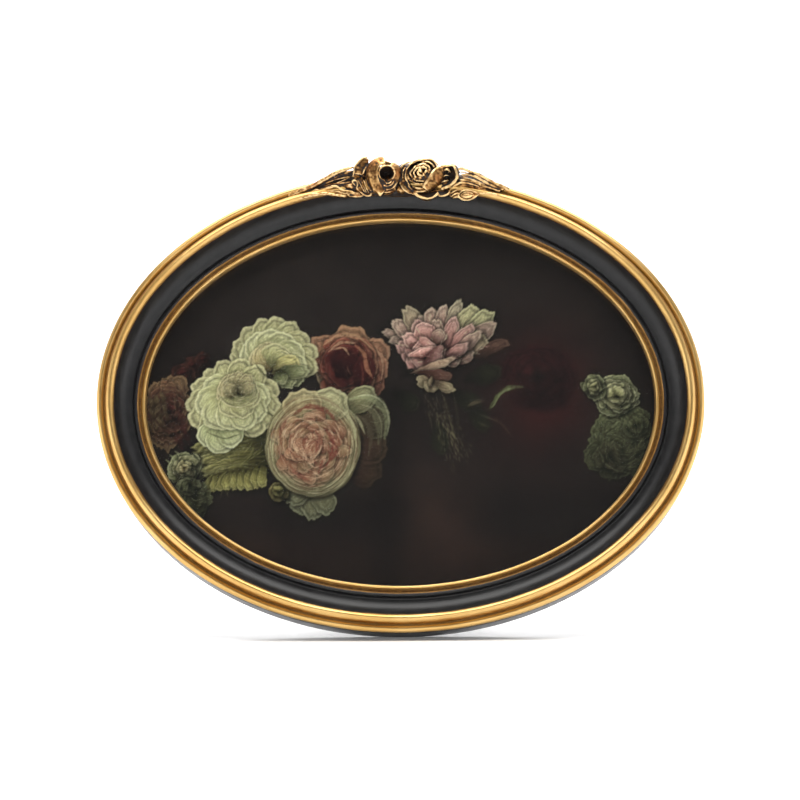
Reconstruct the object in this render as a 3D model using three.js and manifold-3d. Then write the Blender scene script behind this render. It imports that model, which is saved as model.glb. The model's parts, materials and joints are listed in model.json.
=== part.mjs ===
// Oval table frame, landscape, with a rose crest, glazed, with a velvet easel back.
//
// One moulded oval ring carries, in a rabbet behind its lip, a glass pane, an art print, a filler card and the
// back board. Four turn buttons on the ring's rear face hold the board in. A leg hinges on the board, a ribbon
// stays it when open, and a wire ring at the top hangs the frame on a wall instead.
//
// Millimetres. Inside the "leaning" group x is to the right, y is up the frame and z comes forward, out of the
// picture, with z = 0 on the ring's rear face. The finished part stands on +Z, and its picture faces -Y.

import * as THREE from 'three';
import { mergeVertices } from 'three/addons/utils/BufferGeometryUtils.js';
import Module from 'manifold-3d';

const wasm = await Module();
wasm.setup();

// ---------------------------------------------------------------- driving dimensions
const OUTER_A = 103.0; // half width of the oval, outside
const OUTER_B = 79.5; // half height of the oval, outside
const LEAN = 13; // degrees the frame leans back from upright
const RING_SEGMENTS = 64; // with half a step of turn, so that a flat side is at the bottom
const GAP = 0.3; // clear gap between touching pieces

// The ring's section: [distance in from the outer edge, height over the rear face]
const SECTION = [
  [1.0, 0.0], [0.0, 1.2], [0.0, 12.8], [0.3, 14.0], [1.2, 14.6], [2.1, 14.0], [2.5, 13.4], [3.2, 15.4],
  [4.1, 16.7], [4.9, 16.9], [5.8, 16.0], [6.7, 13.9], [8.0, 11.8], [10.0, 10.3], [12.0, 9.7], [12.6, 10.9],
  [13.6, 10.6], [14.6, 9.6], [15.6, 10.7], [16.5, 9.8], [16.5, 8.0], [11.3, 8.0], [11.3, 0.0],
];

// The stack in the rabbet: [rear face, front face]
const GLASS_Z = [5.7, 7.7];
const PRINT_Z = [5.0, 5.4];
const CARD_Z = [3.2, 4.7];
const BOARD_Z = [0.4, 2.9];
const STACK_IN = 11.9; // the stack's edge, in from the outer edge

// Turn buttons and their screws
const BUTTON_IN = 6.3; // the screw's place, in from the outer edge
const BUTTON_ANGLES = [38, 142, 218, 322]; // degrees round the oval
const BUTTON_R = 3.6;
const BUTTON_REACH = 11.5; // from the screw to the tip's centre
const BUTTON_THICK = 0.8;
const BUTTON_HOLE = 1.6;
const SCREW_R = 1.25;
const SCREW_HEAD_R = 2.9;
const SCREW_HEAD_H = 1.4;
const SCREW_DEPTH = 6.0;
const PILOT_R = 1.6;

// Easel hinge
const PIN_Y = 26.0;
const PIN_Z = -1.7;
const PIN_R = 0.8;
const KNUCKLE_BORE = 1.1;
const KNUCKLE_R = 1.7;
const HINGE_HALF = 10.0; // half the row of knuckles
const MIDDLE_HALF = 3.9; // half the middle knuckle
const LEAF_THICK = 0.8;
const LEAF_HALF = 11.0;
const LEAF_LONG = 11.5;
const OPEN = 23; // degrees from folded flat to open
const LEG_THICK = 2.5;
const LEG_TOP_HALF = 12.5;
const LEG_FOOT_HALF = 16.5;

// Rivets
const RIVET_R = 1.1;
const RIVET_HOLE = 1.45;
const RIVET_HEAD_R = 2.3;
const RIVET_HEAD_H = 0.9;
const HINGE_RIVET_X = 6.5;
const HINGE_RIVET_OFF = 7.0; // from the pin

// Stay ribbon
const RIBBON_HALF = 5.0;
const RIBBON_THICK = 0.5;
const RIBBON_AT = 58.0; // from the pin to where it leaves the board and the leg
const RIBBON_TAB = 9.0;
const RIBBON_RIVET = 63.0; // from the pin to its rivets

// Wall hanger
const HANGER_Y = 53.0; // the ring's pivot
const HANGER_Z = -1.65;
const HANGER_HALF = 4.0;
const HANGER_LONG = 11.0;
const WIRE_R = 0.8;

const rad = THREE.MathUtils.degToRad;

// ---------------------------------------------------------------- geometry helpers
function bare(geometry) {
  const g = geometry.clone();
  for (const k of Object.keys(g.attributes)) if (k !== 'position') g.deleteAttribute(k);
  return mergeVertices(g, 1e-4);
}

function outward(geometry) {
  const g = bare(geometry);
  const p = g.attributes.position;
  const ix = g.index.array;
  let v = 0;
  const a = new THREE.Vector3(), b = new THREE.Vector3(), c = new THREE.Vector3();
  for (let i = 0; i < ix.length; i += 3) {
    a.fromBufferAttribute(p, ix[i]);
    b.fromBufferAttribute(p, ix[i + 1]);
    c.fromBufferAttribute(p, ix[i + 2]);
    v += a.dot(b.cross(c));
  }
  if (v < 0) for (let i = 0; i < ix.length; i += 3) [ix[i + 1], ix[i + 2]] = [ix[i + 2], ix[i + 1]];
  return g;
}

function solid(geometry) {
  const g = outward(geometry);
  return new wasm.Manifold(new wasm.Mesh({
    numProp: 3,
    vertProperties: Float32Array.from(g.attributes.position.array),
    triVerts: Uint32Array.from(g.index.array),
  }));
}

function geometryOf(manifold) {
  const m = manifold.getMesh();
  const g = new THREE.BufferGeometry();
  const p = new Float32Array(m.numVert * 3);
  for (let i = 0; i < m.numVert; i++)
    for (let k = 0; k < 3; k++) p[3 * i + k] = m.vertProperties[i * m.numProp + k];
  g.setAttribute('position', new THREE.BufferAttribute(p, 3));
  g.setIndex(Array.from(m.triVerts));
  g.computeVertexNormals();
  return g;
}

// A closed section [in, height] swept round the oval, all the way or from one angle to another
function ovalSweep(section, segments, from = null, to = null, taper = null) {
  const whole = from === null;
  const start = whole ? Math.PI / segments + Math.PI / 2 : from;
  const step = whole ? (2 * Math.PI) / segments : (to - from) / segments;
  const rows = whole ? segments : segments + 1;
  const n = section.length;
  const pos = [];
  for (let i = 0; i < rows; i++) {
    const t = start + i * step;
    const s = taper ? taper(i / segments) : 1;
    for (const [d, h] of section) {
      const mid = taper ? section.reduce((m, q) => [m[0] + q[0] / n, m[1] + q[1] / n], [0, 0]) : [0, 0];
      const dd = taper ? mid[0] + (d - mid[0]) * s : d;
      const hh = taper ? section[0][1] + (h - section[0][1]) * s : h;
      pos.push((OUTER_A - dd) * Math.cos(t), (OUTER_B - dd) * Math.sin(t), hh);
    }
  }
  const idx = [];
  const last = whole ? rows : rows - 1;
  for (let i = 0; i < last; i++)
    for (let j = 0; j < n; j++) {
      const a = i * n + j, b = i * n + ((j + 1) % n);
      const c = ((i + 1) % rows) * n + j, d = ((i + 1) % rows) * n + ((j + 1) % n);
      idx.push(a, b, d, a, d, c);
    }
  if (!whole) {
    const tri = THREE.ShapeUtils.triangulateShape(section.map(([x, y]) => new THREE.Vector2(x, y)), []);
    const flip = THREE.ShapeUtils.isClockWise(section.map(([x, y]) => new THREE.Vector2(x, y)));
    for (const [a, b, c] of tri) {
      const e = (rows - 1) * n;
      if (!flip) idx.push(a, c, b, e + a, e + b, e + c);
      else idx.push(a, b, c, e + a, e + c, e + b);
    }
  }
  const g = new THREE.BufferGeometry();
  g.setAttribute('position', new THREE.BufferAttribute(new Float32Array(pos), 3));
  g.setIndex(idx);
  return outward(g);
}

// The section pushed out by a clear gap, for cutting a neighbour that sits on the ring
function grown(section, by) {
  const n = section.length;
  return section.map(([x, y], i) => {
    const [px, py] = section[(i + n - 1) % n], [nx, ny] = section[(i + 1) % n];
    const e1 = new THREE.Vector2(x - px, y - py).normalize(), e2 = new THREE.Vector2(nx - x, ny - y).normalize();
    const n1 = new THREE.Vector2(-e1.y, e1.x), n2 = new THREE.Vector2(-e2.y, e2.x);
    const m = n1.add(n2).normalize();
    const k = by / Math.max(0.5, m.dot(n2));
    return [x + m.x * k, y + m.y * k];
  });
}

function circlePath(x, y, r, segments) {
  const p = new THREE.Path();
  for (let i = 0; i <= segments; i++) {
    const t = (2 * Math.PI * i) / segments;
    if (i === 0) p.moveTo(x + r, y);
    else if (i === segments) p.closePath();
    else p.lineTo(x + r * Math.cos(t), y + r * Math.sin(t));
  }
  return p;
}

function ovalShape(inset, segments) {
  const s = new THREE.Shape();
  for (let i = 0; i < segments; i++) {
    const t = (2 * Math.PI * (i + 0.5)) / segments + Math.PI / 2;
    const x = (OUTER_A - inset) * Math.cos(t), y = (OUTER_B - inset) * Math.sin(t);
    if (i === 0) s.moveTo(x, y);
    else s.lineTo(x, y);
  }
  s.closePath();
  return s;
}

function polygon(points) {
  const s = new THREE.Shape();
  points.forEach(([x, y], i) => (i ? s.lineTo(x, y) : s.moveTo(x, y)));
  s.closePath();
  return s;
}

function slab(shape, [z0, z1]) {
  const g = new THREE.ExtrudeGeometry(shape, { depth: z1 - z0, bevelEnabled: false, steps: 1, curveSegments: 12 });
  g.translate(0, 0, z0);
  return outward(g);
}

// A turned piece on the z axis: [radius, z] from the axis back to the axis
function turned(profile, segments = 16) {
  const g = new THREE.LatheGeometry(profile.map(([r, z]) => new THREE.Vector2(r, z)), segments);
  g.rotateX(Math.PI / 2);
  return outward(g);
}

// An extrusion along x of a shape drawn in (y, z)
function alongX(shape, x0, x1) {
  const g = new THREE.ExtrudeGeometry(shape, { depth: x1 - x0, bevelEnabled: false, steps: 1, curveSegments: 12 });
  const m = new THREE.Matrix4().set(0, 0, 1, x0, 1, 0, 0, 0, 0, 1, 0, 0, 0, 0, 0, 1);
  g.applyMatrix4(m);
  return outward(g);
}

function tubeX(x0, x1, outer, inner, segments = 14) {
  const s = polygon(Array.from({ length: segments }, (_, i) => {
    const t = (2 * Math.PI * i) / segments;
    return [outer * Math.cos(t), outer * Math.sin(t)];
  }));
  if (inner) s.holes.push(circlePath(0, 0, inner, segments));
  return alongX(s, x0, x1);
}

// ---------------------------------------------------------------- materials
const paint = (color, roughness, metalness = 0) => new THREE.MeshStandardMaterial({ color, roughness, metalness });
const COLOURS = {
  gilt: [0xb98d4f, 0.38, 0.75],
  crest: [0xa5805b, 0.45, 0.7],
  glass: [0xdfe6e4, 0.05, 0],
  print: [0x1b1613, 0.75, 0],
  card: [0xb9a88a, 0.9, 0],
  velvet: [0x0d0c0c, 0.95, 0],
  steel: [0x8d8a84, 0.35, 0.9],
  brass: [0xb8924e, 0.32, 0.95],
  ribbon: [0x141213, 0.85, 0],
};

const leaning = new THREE.Group();
leaning.rotation.x = rad(90 - LEAN);

function put(parent, name, geometry, colour, place = [0, 0, 0]) {
  const [c, r, m] = COLOURS[colour];
  geometry.computeVertexNormals();
  const mesh = new THREE.Mesh(geometry, paint(c, r, m));
  mesh.name = name;
  mesh.position.set(...place);
  parent.add(mesh);
  return mesh;
}

// ---------------------------------------------------------------- the ring
const buttonPlaces = BUTTON_ANGLES.map((deg) => {
  const t = rad(deg);
  const x = OUTER_A * Math.cos(t), y = OUTER_B * Math.sin(t);
  const n = new THREE.Vector2(Math.cos(t) / OUTER_A, Math.sin(t) / OUTER_B).normalize();
  return { x: x - n.x * BUTTON_IN, y: y - n.y * BUTTON_IN, inward: Math.atan2(-n.y, -n.x) };
});

let ring = solid(ovalSweep(SECTION, RING_SEGMENTS));
for (const p of buttonPlaces) {
  const pilot = turned([[0, -2], [PILOT_R, -2], [PILOT_R, SCREW_DEPTH + GAP], [0, SCREW_DEPTH + GAP]], 12);
  pilot.translate(p.x, p.y, 0);
  ring = ring.subtract(solid(pilot));
}
put(leaning, 'frame_moulding', geometryOf(ring), 'gilt');

// ---------------------------------------------------------------- the crest, a casting seated on the ring's top
const lump = (x, y, z, rx, ry, rz, turn = 0, tilt = 0, w = 12, h = 8) => {
  const g = new THREE.SphereGeometry(1, w, h);
  g.scale(rx, ry, rz);
  g.rotateX(tilt);
  g.rotateZ(turn);
  g.translate(x, y, z);
  return solid(g);
};
const railTaper = (u) => 0.42 + 0.58 * Math.sin(Math.PI * Math.min(1, Math.max(0, u))) ** 0.7;
const railAngle = Math.acos(33.5 / (OUTER_A - 4));
let crest = solid(ovalSweep([[1.4, 14.2], [7.6, 14.2], [6.6, 18.4], [3.6, 19.0], [1.8, 17.6]], 18,
  railAngle, Math.PI - railAngle, railTaper));
for (const l of [
  [-5.3, 75.4, 17.6, 5.9, 5.9, 4.6, 0, 0.0, 14, 8], // left rose
  [7.2, 75.4, 17.9, 6.6, 6.2, 4.9, 0, 0.0, 14, 8], // right rose
  [16.6, 75.9, 16.9, 5.4, 3.9, 3.2, -0.25], // outer petal, right
  [9.6, 69.6, 15.4, 5.6, 3.2, 3.6, 0.1], // lower petal
  [-11.4, 79.6, 15.6, 2.2, 3.6, 2.4, 0.35], // upright leaf
  [-18.4, 76.2, 16.6, 8.4, 2.4, 2.2, 0.38], // long leaf, left
  [-27.5, 72.8, 16.2, 7.6, 1.9, 1.8, 0.30], // its tip
  [-16.6, 71.5, 15.2, 6.6, 2.2, 3.0, 0.22], // curled leaf, left
  [22.4, 69.8, 14.6, 4.4, 2.5, 3.4, -0.1], // bud, right
  [24.6, 74.8, 16.3, 6.6, 2.2, 2.2, -0.42], // leaf, right
  [30.6, 71.9, 16.0, 4.6, 1.7, 1.8, -0.38], // its tip
]) crest = crest.add(lump(...l));
crest = crest.subtract(solid(ovalSweep(grown(SECTION, GAP), RING_SEGMENTS)));
const crestParts = crest.decompose().sort((p, q) => q.volume() - p.volume());
put(leaning, 'rose_crest', geometryOf(crestParts[0]), 'crest');

// ---------------------------------------------------------------- the stack
put(leaning, 'glass_pane', slab(ovalShape(STACK_IN, RING_SEGMENTS), GLASS_Z), 'glass');
put(leaning, 'art_print', slab(ovalShape(STACK_IN + 0.2, RING_SEGMENTS), PRINT_Z), 'print');
put(leaning, 'filler_card', slab(ovalShape(STACK_IN + 0.2, RING_SEGMENTS), CARD_Z), 'card');

const boardRivets = [
  ['hinge_rivet_left', -HINGE_RIVET_X, PIN_Y + HINGE_RIVET_OFF],
  ['hinge_rivet_right', HINGE_RIVET_X, PIN_Y + HINGE_RIVET_OFF],
  ['ribbon_rivet_board', 0, PIN_Y - RIBBON_RIVET],
  ['hanger_rivet', 0, HANGER_Y - 6.6],
];
const board = ovalShape(STACK_IN, RING_SEGMENTS);
for (const [, x, y] of boardRivets) board.holes.push(circlePath(x, y, RIVET_HOLE, 12));
put(leaning, 'back_board', slab(board, BOARD_Z), 'velvet');

// ---------------------------------------------------------------- turn buttons and screws
buttonPlaces.forEach((p, i) => {
  const n = i + 1;
  const pts = [];
  const tip = 2.6;
  for (let k = 0; k <= 8; k++) {
    const t = Math.PI / 2 + (Math.PI * k) / 8;
    pts.push([BUTTON_R * Math.cos(t), BUTTON_R * Math.sin(t)]);
  }
  for (let k = 0; k <= 6; k++) {
    const t = -Math.PI / 2 + (Math.PI * k) / 6;
    pts.push([BUTTON_REACH - tip + tip * Math.cos(t) + 0.6, tip * Math.sin(t)]);
  }
  const s = polygon(pts);
  s.holes.push(circlePath(0, 0, BUTTON_HOLE, 12));
  const g = slab(s, [-GAP - BUTTON_THICK, -GAP]);
  g.rotateZ(p.inward);
  put(leaning, `turn_button_${n}`, g, 'brass', [p.x, p.y, 0]);

  const top = -GAP - BUTTON_THICK - GAP;
  const screw = turned([
    [0, SCREW_DEPTH], [0.5, SCREW_DEPTH - 0.3], [SCREW_R, SCREW_DEPTH - 1.8], [SCREW_R, top],
    [SCREW_HEAD_R, top], [SCREW_HEAD_R, top - 0.5], [SCREW_HEAD_R * 0.72, top - SCREW_HEAD_H * 0.88],
    [SCREW_HEAD_R * 0.35, top - SCREW_HEAD_H], [0, top - SCREW_HEAD_H],
  ], 14);
  put(leaning, `button_screw_${n}`, screw, 'steel', [p.x, p.y, 0]);
});

// ---------------------------------------------------------------- hinge leaf on the board, with the pin
{
  const y0 = PIN_Y, y1 = PIN_Y + LEAF_LONG, m = MIDDLE_HALF + GAP, clear = KNUCKLE_R + GAP;
  const s = polygon([
    [-HINGE_HALF, y0], [-m, y0], [-m, y0 + clear], [m, y0 + clear], [m, y0], [HINGE_HALF, y0],
    [LEAF_HALF, y0 + 3], [LEAF_HALF, y1 - 2], [LEAF_HALF - 2, y1], [-LEAF_HALF + 2, y1], [-LEAF_HALF, y1 - 2],
    [-LEAF_HALF, y0 + 3],
  ]);
  for (const x of [-HINGE_RIVET_X, HINGE_RIVET_X])
    s.holes.push(circlePath(x, PIN_Y + HINGE_RIVET_OFF, RIVET_HOLE, 12));
  const top = PIN_Z + KNUCKLE_R;
  let leaf = solid(slab(s, [top - LEAF_THICK, top]));
  for (const [a, b] of [[-HINGE_HALF, -m], [m, HINGE_HALF]]) {
    const k = tubeX(a, b, KNUCKLE_R, 0);
    k.translate(0, PIN_Y, PIN_Z);
    leaf = leaf.add(solid(k));
  }
  const bore = tubeX(-HINGE_HALF - 2, HINGE_HALF + 2, KNUCKLE_BORE, 0);
  bore.translate(0, PIN_Y, PIN_Z);
  put(leaning, 'hinge_leaf_board', geometryOf(leaf.subtract(solid(bore))), 'steel');

  // The pin has a small head at each end, turned about x
  const e = HINGE_HALF + GAP;
  const pin = new THREE.LatheGeometry([
    [0, -e - 0.9], [1.0, -e - 0.9], [1.4, -e - 0.45], [1.4, -e], [PIN_R, -e], [PIN_R, e], [1.4, e],
    [1.4, e + 0.45], [1.0, e + 0.9], [0, e + 0.9],
  ].map(([r, y]) => new THREE.Vector2(r, y)), 14);
  pin.rotateZ(-Math.PI / 2);
  put(leaning, 'hinge_pin', outward(pin), 'steel', [0, PIN_Y, PIN_Z]);
}

// ---------------------------------------------------------------- rivets on the board
const rivetOn = (top, tail) => turned([
  [0, tail], [RIVET_R * 0.8, tail], [RIVET_R, tail - Math.sign(tail - top) * 0.3], [RIVET_R, top],
  [RIVET_HEAD_R, top], [RIVET_HEAD_R * 0.93, top - RIVET_HEAD_H * 0.45],
  [RIVET_HEAD_R * 0.6, top - RIVET_HEAD_H * 0.85], [0, top - RIVET_HEAD_H],
], 12);
for (const [name, x, y] of boardRivets) {
  const top = name === 'ribbon_rivet_board' ? BOARD_Z[0] - 2 * GAP - RIBBON_THICK
    : name === 'hanger_rivet' ? BOARD_Z[0] - GAP - 0.6 - GAP
      : PIN_Z + KNUCKLE_R - LEAF_THICK - GAP;
  put(leaning, name, rivetOn(top, BOARD_Z[1] - 0.2), 'brass', [x, y, 0]);
}

// ---------------------------------------------------------------- the leg, drawn folded flat, about the pin
const swing = new THREE.Group();
swing.position.set(0, PIN_Y, PIN_Z);
swing.rotation.x = rad(OPEN);
leaning.add(swing);

const LEAN_R = rad(LEAN), PHI = rad(OPEN - LEAN);
// The oval's lowest point stands on the ground: the outer wall's rear edge
const LOW_B = OUTER_B * Math.cos(Math.PI / RING_SEGMENTS);
const GROUND = -LOW_B * Math.cos(LEAN_R) + 1.2 * Math.sin(LEAN_R);
const PIN_HEIGHT = PIN_Y * Math.cos(LEAN_R) + PIN_Z * Math.sin(LEAN_R) - GROUND;
const footY = (z) => -(PIN_HEIGHT - z * Math.sin(PHI)) / Math.cos(PHI);

const LEG_FRONT = -KNUCKLE_R - GAP;
const LEG_REAR = LEG_FRONT - LEG_THICK;
{
  const f = -1000; // marks the foot's edge
  const s = polygon([
    [-LEG_TOP_HALF + 3, 1.0], [LEG_TOP_HALF - 3, 1.0], [LEG_TOP_HALF - 0.8, 0.1], [LEG_TOP_HALF, -2.2],
    [LEG_TOP_HALF - 0.6, -22], [LEG_TOP_HALF + 0.2, -50], [LEG_FOOT_HALF - 0.6, -92], [LEG_FOOT_HALF, -101],
    [LEG_FOOT_HALF - 1.4, f], [-LEG_FOOT_HALF + 1.4, f], [-LEG_FOOT_HALF, -101], [-LEG_FOOT_HALF + 0.6, -92],
    [-LEG_TOP_HALF - 0.2, -50], [-LEG_TOP_HALF + 0.6, -22], [-LEG_TOP_HALF, -2.2], [-LEG_TOP_HALF + 0.8, 0.1],
  ]);
  for (const x of [-HINGE_RIVET_X, HINGE_RIVET_X])
    s.holes.push(circlePath(x, -HINGE_RIVET_OFF, RIVET_HOLE, 12));
  s.holes.push(circlePath(0, -RIBBON_RIVET, RIVET_HOLE, 12));
  const g = slab(s, [LEG_REAR, LEG_FRONT]);
  const p = g.attributes.position;
  for (let i = 0; i < p.count; i++) if (p.getY(i) < -900) p.setY(i, footY(p.getZ(i)));
  put(swing, 'easel_leg', g, 'velvet');

  const lf = -KNUCKLE_R, clear = KNUCKLE_R + GAP;
  const leafShape = polygon([
    [-MIDDLE_HALF, 0], [-MIDDLE_HALF, -clear], [-LEAF_HALF, -clear], [-LEAF_HALF, -LEAF_LONG + 2],
    [-LEAF_HALF + 2, -LEAF_LONG], [LEAF_HALF - 2, -LEAF_LONG], [LEAF_HALF, -LEAF_LONG + 2], [LEAF_HALF, -clear],
    [MIDDLE_HALF, -clear], [MIDDLE_HALF, 0],
  ]);
  for (const x of [-HINGE_RIVET_X, HINGE_RIVET_X])
    leafShape.holes.push(circlePath(x, -HINGE_RIVET_OFF, RIVET_HOLE, 12));
  let leaf = solid(slab(leafShape, [lf, lf + LEAF_THICK]));
  leaf = leaf.add(solid(tubeX(-MIDDLE_HALF, MIDDLE_HALF, KNUCKLE_R, 0)));
  leaf = leaf.subtract(solid(tubeX(-HINGE_HALF, HINGE_HALF, KNUCKLE_BORE, 0)));
  put(swing, 'hinge_leaf_leg', geometryOf(leaf), 'steel');

  for (const [name, x] of [['leg_rivet_left', -HINGE_RIVET_X], ['leg_rivet_right', HINGE_RIVET_X]])
    put(swing, name, rivetOn(LEG_REAR - GAP, lf + LEAF_THICK + 0.2), 'brass', [x, -HINGE_RIVET_OFF, 0]);
  // The ribbon's rivet has its head on the ribbon, in front of the leg
  const g2 = rivetOn(-LEG_FRONT - GAP - RIBBON_THICK - GAP, -LEG_REAR - 0.2);
  g2.rotateY(Math.PI);
  put(swing, 'ribbon_rivet_leg', outward(g2), 'brass', [0, -RIBBON_RIVET, 0]);
}

// ---------------------------------------------------------------- stay ribbon, taut between the board and the leg
{
  // Drawn about the pin, in (y, z): a strap of even thickness along a bent line
  const c = Math.cos(rad(OPEN)), s = Math.sin(rad(OPEN));
  const onLeg = (y, z) => [y * c - z * s, y * s + z * c];
  const zb = BOARD_Z[0] - PIN_Z - GAP - RIBBON_THICK / 2; // its middle line on the board
  const zl = LEG_FRONT + GAP + RIBBON_THICK / 2; // and on the leg
  const line = [
    [-RIBBON_AT - RIBBON_TAB, zb], [-RIBBON_AT, zb], [-RIBBON_AT + 0.9, zb - 0.7],
    onLeg(-RIBBON_AT + 0.9, zl + 0.7), onLeg(-RIBBON_AT, zl), onLeg(-RIBBON_AT - RIBBON_TAB, zl),
  ].map(([y, z]) => new THREE.Vector2(y, z));
  const side = (k) => line.map((p, i) => {
    const a = line[Math.max(0, i - 1)], b = line[Math.min(line.length - 1, i + 1)];
    const e1 = p.clone().sub(a), e2 = b.clone().sub(p);
    if (e1.length() === 0) e1.copy(e2);
    if (e2.length() === 0) e2.copy(e1);
    const n1 = new THREE.Vector2(-e1.y, e1.x).normalize(), n2 = new THREE.Vector2(-e2.y, e2.x).normalize();
    const m = n1.clone().add(n2).normalize();
    const w = (k * RIBBON_THICK) / 2 / Math.max(0.6, m.dot(n1));
    return [p.x + m.x * w, p.y + m.y * w];
  });
  const shape = polygon([...side(1), ...side(-1).reverse()]);
  const strap = solid(alongX(shape, -RIBBON_HALF, RIBBON_HALF));
  const hole = turned([[0, -3], [RIVET_HOLE, -3], [RIVET_HOLE, 3], [0, 3]], 12);
  const h1 = hole.clone().translate(0, -RIBBON_RIVET, zb);
  const h2 = hole.clone().translate(0, -RIBBON_RIVET, zl).rotateX(rad(OPEN));
  put(leaning, 'stay_ribbon', geometryOf(strap.subtract(solid(h1)).subtract(solid(h2))), 'ribbon', [0, PIN_Y, PIN_Z]);
}

// ---------------------------------------------------------------- wall hanger: a strap and its wire ring
{
  const top = BOARD_Z[0] - GAP, y0 = HANGER_Y, y1 = HANGER_Y - HANGER_LONG;
  const s = polygon([
    [-HANGER_HALF, y0], [-HANGER_HALF, y1 + 2.5], [-HANGER_HALF + 2.5, y1], [HANGER_HALF - 2.5, y1],
    [HANGER_HALF, y1 + 2.5], [HANGER_HALF, y0],
  ]);
  s.holes.push(circlePath(0, HANGER_Y - 6.6, RIVET_HOLE, 12));
  const r = top - HANGER_Z; // outside radius of its rolled end
  let strap = solid(slab(s, [top - 0.6, top]));
  const roll = tubeX(-HANGER_HALF, HANGER_HALF, r, 0);
  roll.translate(0, HANGER_Y, HANGER_Z);
  const bore = tubeX(-HANGER_HALF - 2, HANGER_HALF + 2, WIRE_R + 0.35, 0);
  bore.translate(0, HANGER_Y, HANGER_Z);
  strap = strap.add(solid(roll)).subtract(solid(bore));
  put(leaning, 'hanger_strap', geometryOf(strap), 'brass');

  // The wire ring, drawn hanging from its straight side, which runs in the strap's rolled end
  const pts = [
    [-5.4, 0], [-2.7, 0], [0, 0], [2.7, 0], [5.4, 0], [6.9, -0.7], [7.3, -2.4], [6.6, -5.4], [4.9, -8.4],
    [2.6, -10.3], [0, -11.0], [-2.6, -10.3], [-4.9, -8.4], [-6.6, -5.4], [-7.3, -2.4], [-6.9, -0.7],
  ].map(([x, y]) => new THREE.Vector3(x, y, 0));
  const path = new THREE.CatmullRomCurve3(pts, true, 'centripetal');
  const wire = new THREE.TubeGeometry(path, 44, WIRE_R, 8, true);
  const hang = new THREE.Group();
  hang.position.set(0, HANGER_Y, HANGER_Z);
  hang.rotation.x = rad(LEAN); // it hangs straight down
  leaning.add(hang);
  put(hang, 'hanger_ring', outward(wire), 'brass');
}

// ---------------------------------------------------------------- stand it on the ground, centred
const part = new THREE.Group();
part.name = 'oval_table_frame';
part.add(leaning);
part.updateMatrixWorld(true);
const box = new THREE.Box3().setFromObject(part, true);
leaning.position.set(-(box.min.x + box.max.x) / 2, -(box.min.y + box.max.y) / 2, -box.min.z);
part.updateMatrixWorld(true);

export default part;
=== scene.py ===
# The looks of the oval table frame: fine moulding, cast crest, painted print, glass, velvet back and metalwork.
import json
import math

import bmesh
import bpy
import numpy as np
from mathutils import Matrix, Vector

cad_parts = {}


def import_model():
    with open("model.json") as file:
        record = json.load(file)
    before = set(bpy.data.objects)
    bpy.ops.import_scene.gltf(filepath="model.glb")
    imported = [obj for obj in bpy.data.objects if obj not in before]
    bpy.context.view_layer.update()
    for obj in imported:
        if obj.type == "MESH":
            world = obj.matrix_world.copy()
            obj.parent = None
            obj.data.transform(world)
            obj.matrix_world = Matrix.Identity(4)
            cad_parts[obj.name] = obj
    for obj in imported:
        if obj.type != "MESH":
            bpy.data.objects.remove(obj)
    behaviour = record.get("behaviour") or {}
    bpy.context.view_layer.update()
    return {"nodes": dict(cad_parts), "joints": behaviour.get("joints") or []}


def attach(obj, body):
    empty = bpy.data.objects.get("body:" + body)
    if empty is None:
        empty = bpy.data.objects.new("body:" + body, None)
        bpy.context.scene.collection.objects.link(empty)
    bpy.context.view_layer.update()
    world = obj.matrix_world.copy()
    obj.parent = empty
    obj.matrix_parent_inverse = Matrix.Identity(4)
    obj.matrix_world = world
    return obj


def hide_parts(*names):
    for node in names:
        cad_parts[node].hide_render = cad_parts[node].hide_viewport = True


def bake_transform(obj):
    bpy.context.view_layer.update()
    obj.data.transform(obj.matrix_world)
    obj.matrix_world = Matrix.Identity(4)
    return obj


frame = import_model()

# ------------------------------------------------------------------ the part's own frame
# Local millimetres: x right, y up the frame, z out of the picture, 0 on the moulding's rear face.
LEAN = math.radians(13.0)
OPEN = math.radians(23.0)
SL, CL = math.sin(LEAN), math.cos(LEAN)
OUTER_A, OUTER_B = 103.0, 79.5
PIN_Y, PIN_Z = 26.0, -1.7
HANGER_Y, HANGER_Z = 53.0, -1.65
JOINTS = {j["name"]: j for j in frame["joints"]}
_pin = np.array(JOINTS["leg_hinge"]["pos_m"], float) * 1000
TY = _pin[1] - (PIN_Y * SL - PIN_Z * CL)
TZ = _pin[2] - (PIN_Y * CL + PIN_Z * SL)


def world(p):
    """Local millimetres to metres in the row frame."""
    p = np.asarray(p, float).reshape(-1, 3)
    x, y, z = p[:, 0], p[:, 1], p[:, 2]
    return np.stack([x, y * SL - z * CL + TY, y * CL + z * SL + TZ], 1) / 1000


def turn_x(p, angle, y0, z0):
    """p turned about the x-parallel line through (y0, z0)."""
    p = np.asarray(p, float).reshape(-1, 3).copy()
    y, z = p[:, 1].copy(), p[:, 2].copy()
    c, s = math.cos(angle), math.sin(angle)
    p[:, 1] = y0 + y * c - z * s
    p[:, 2] = z0 + y * s + z * c
    return p


def on_leg(p):
    """Leg coordinates, about the pin and folded flat, to local ones with the leg open."""
    return turn_x(p, OPEN, PIN_Y, PIN_Z)


def on_ring(p):
    return turn_x(p, LEAN, HANGER_Y, HANGER_Z)


# ------------------------------------------------------------------ meshes
def make(name, verts, faces, smooth=True):
    me = bpy.data.meshes.new(name)
    me.from_pydata([tuple(v) for v in np.asarray(verts, float)], [], [tuple(int(i) for i in f) for f in faces])
    me.validate()
    if smooth:
        me.shade_smooth()
    ob = bpy.data.objects.new(name, me)
    bpy.context.scene.collection.objects.link(ob)
    return ob


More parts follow.
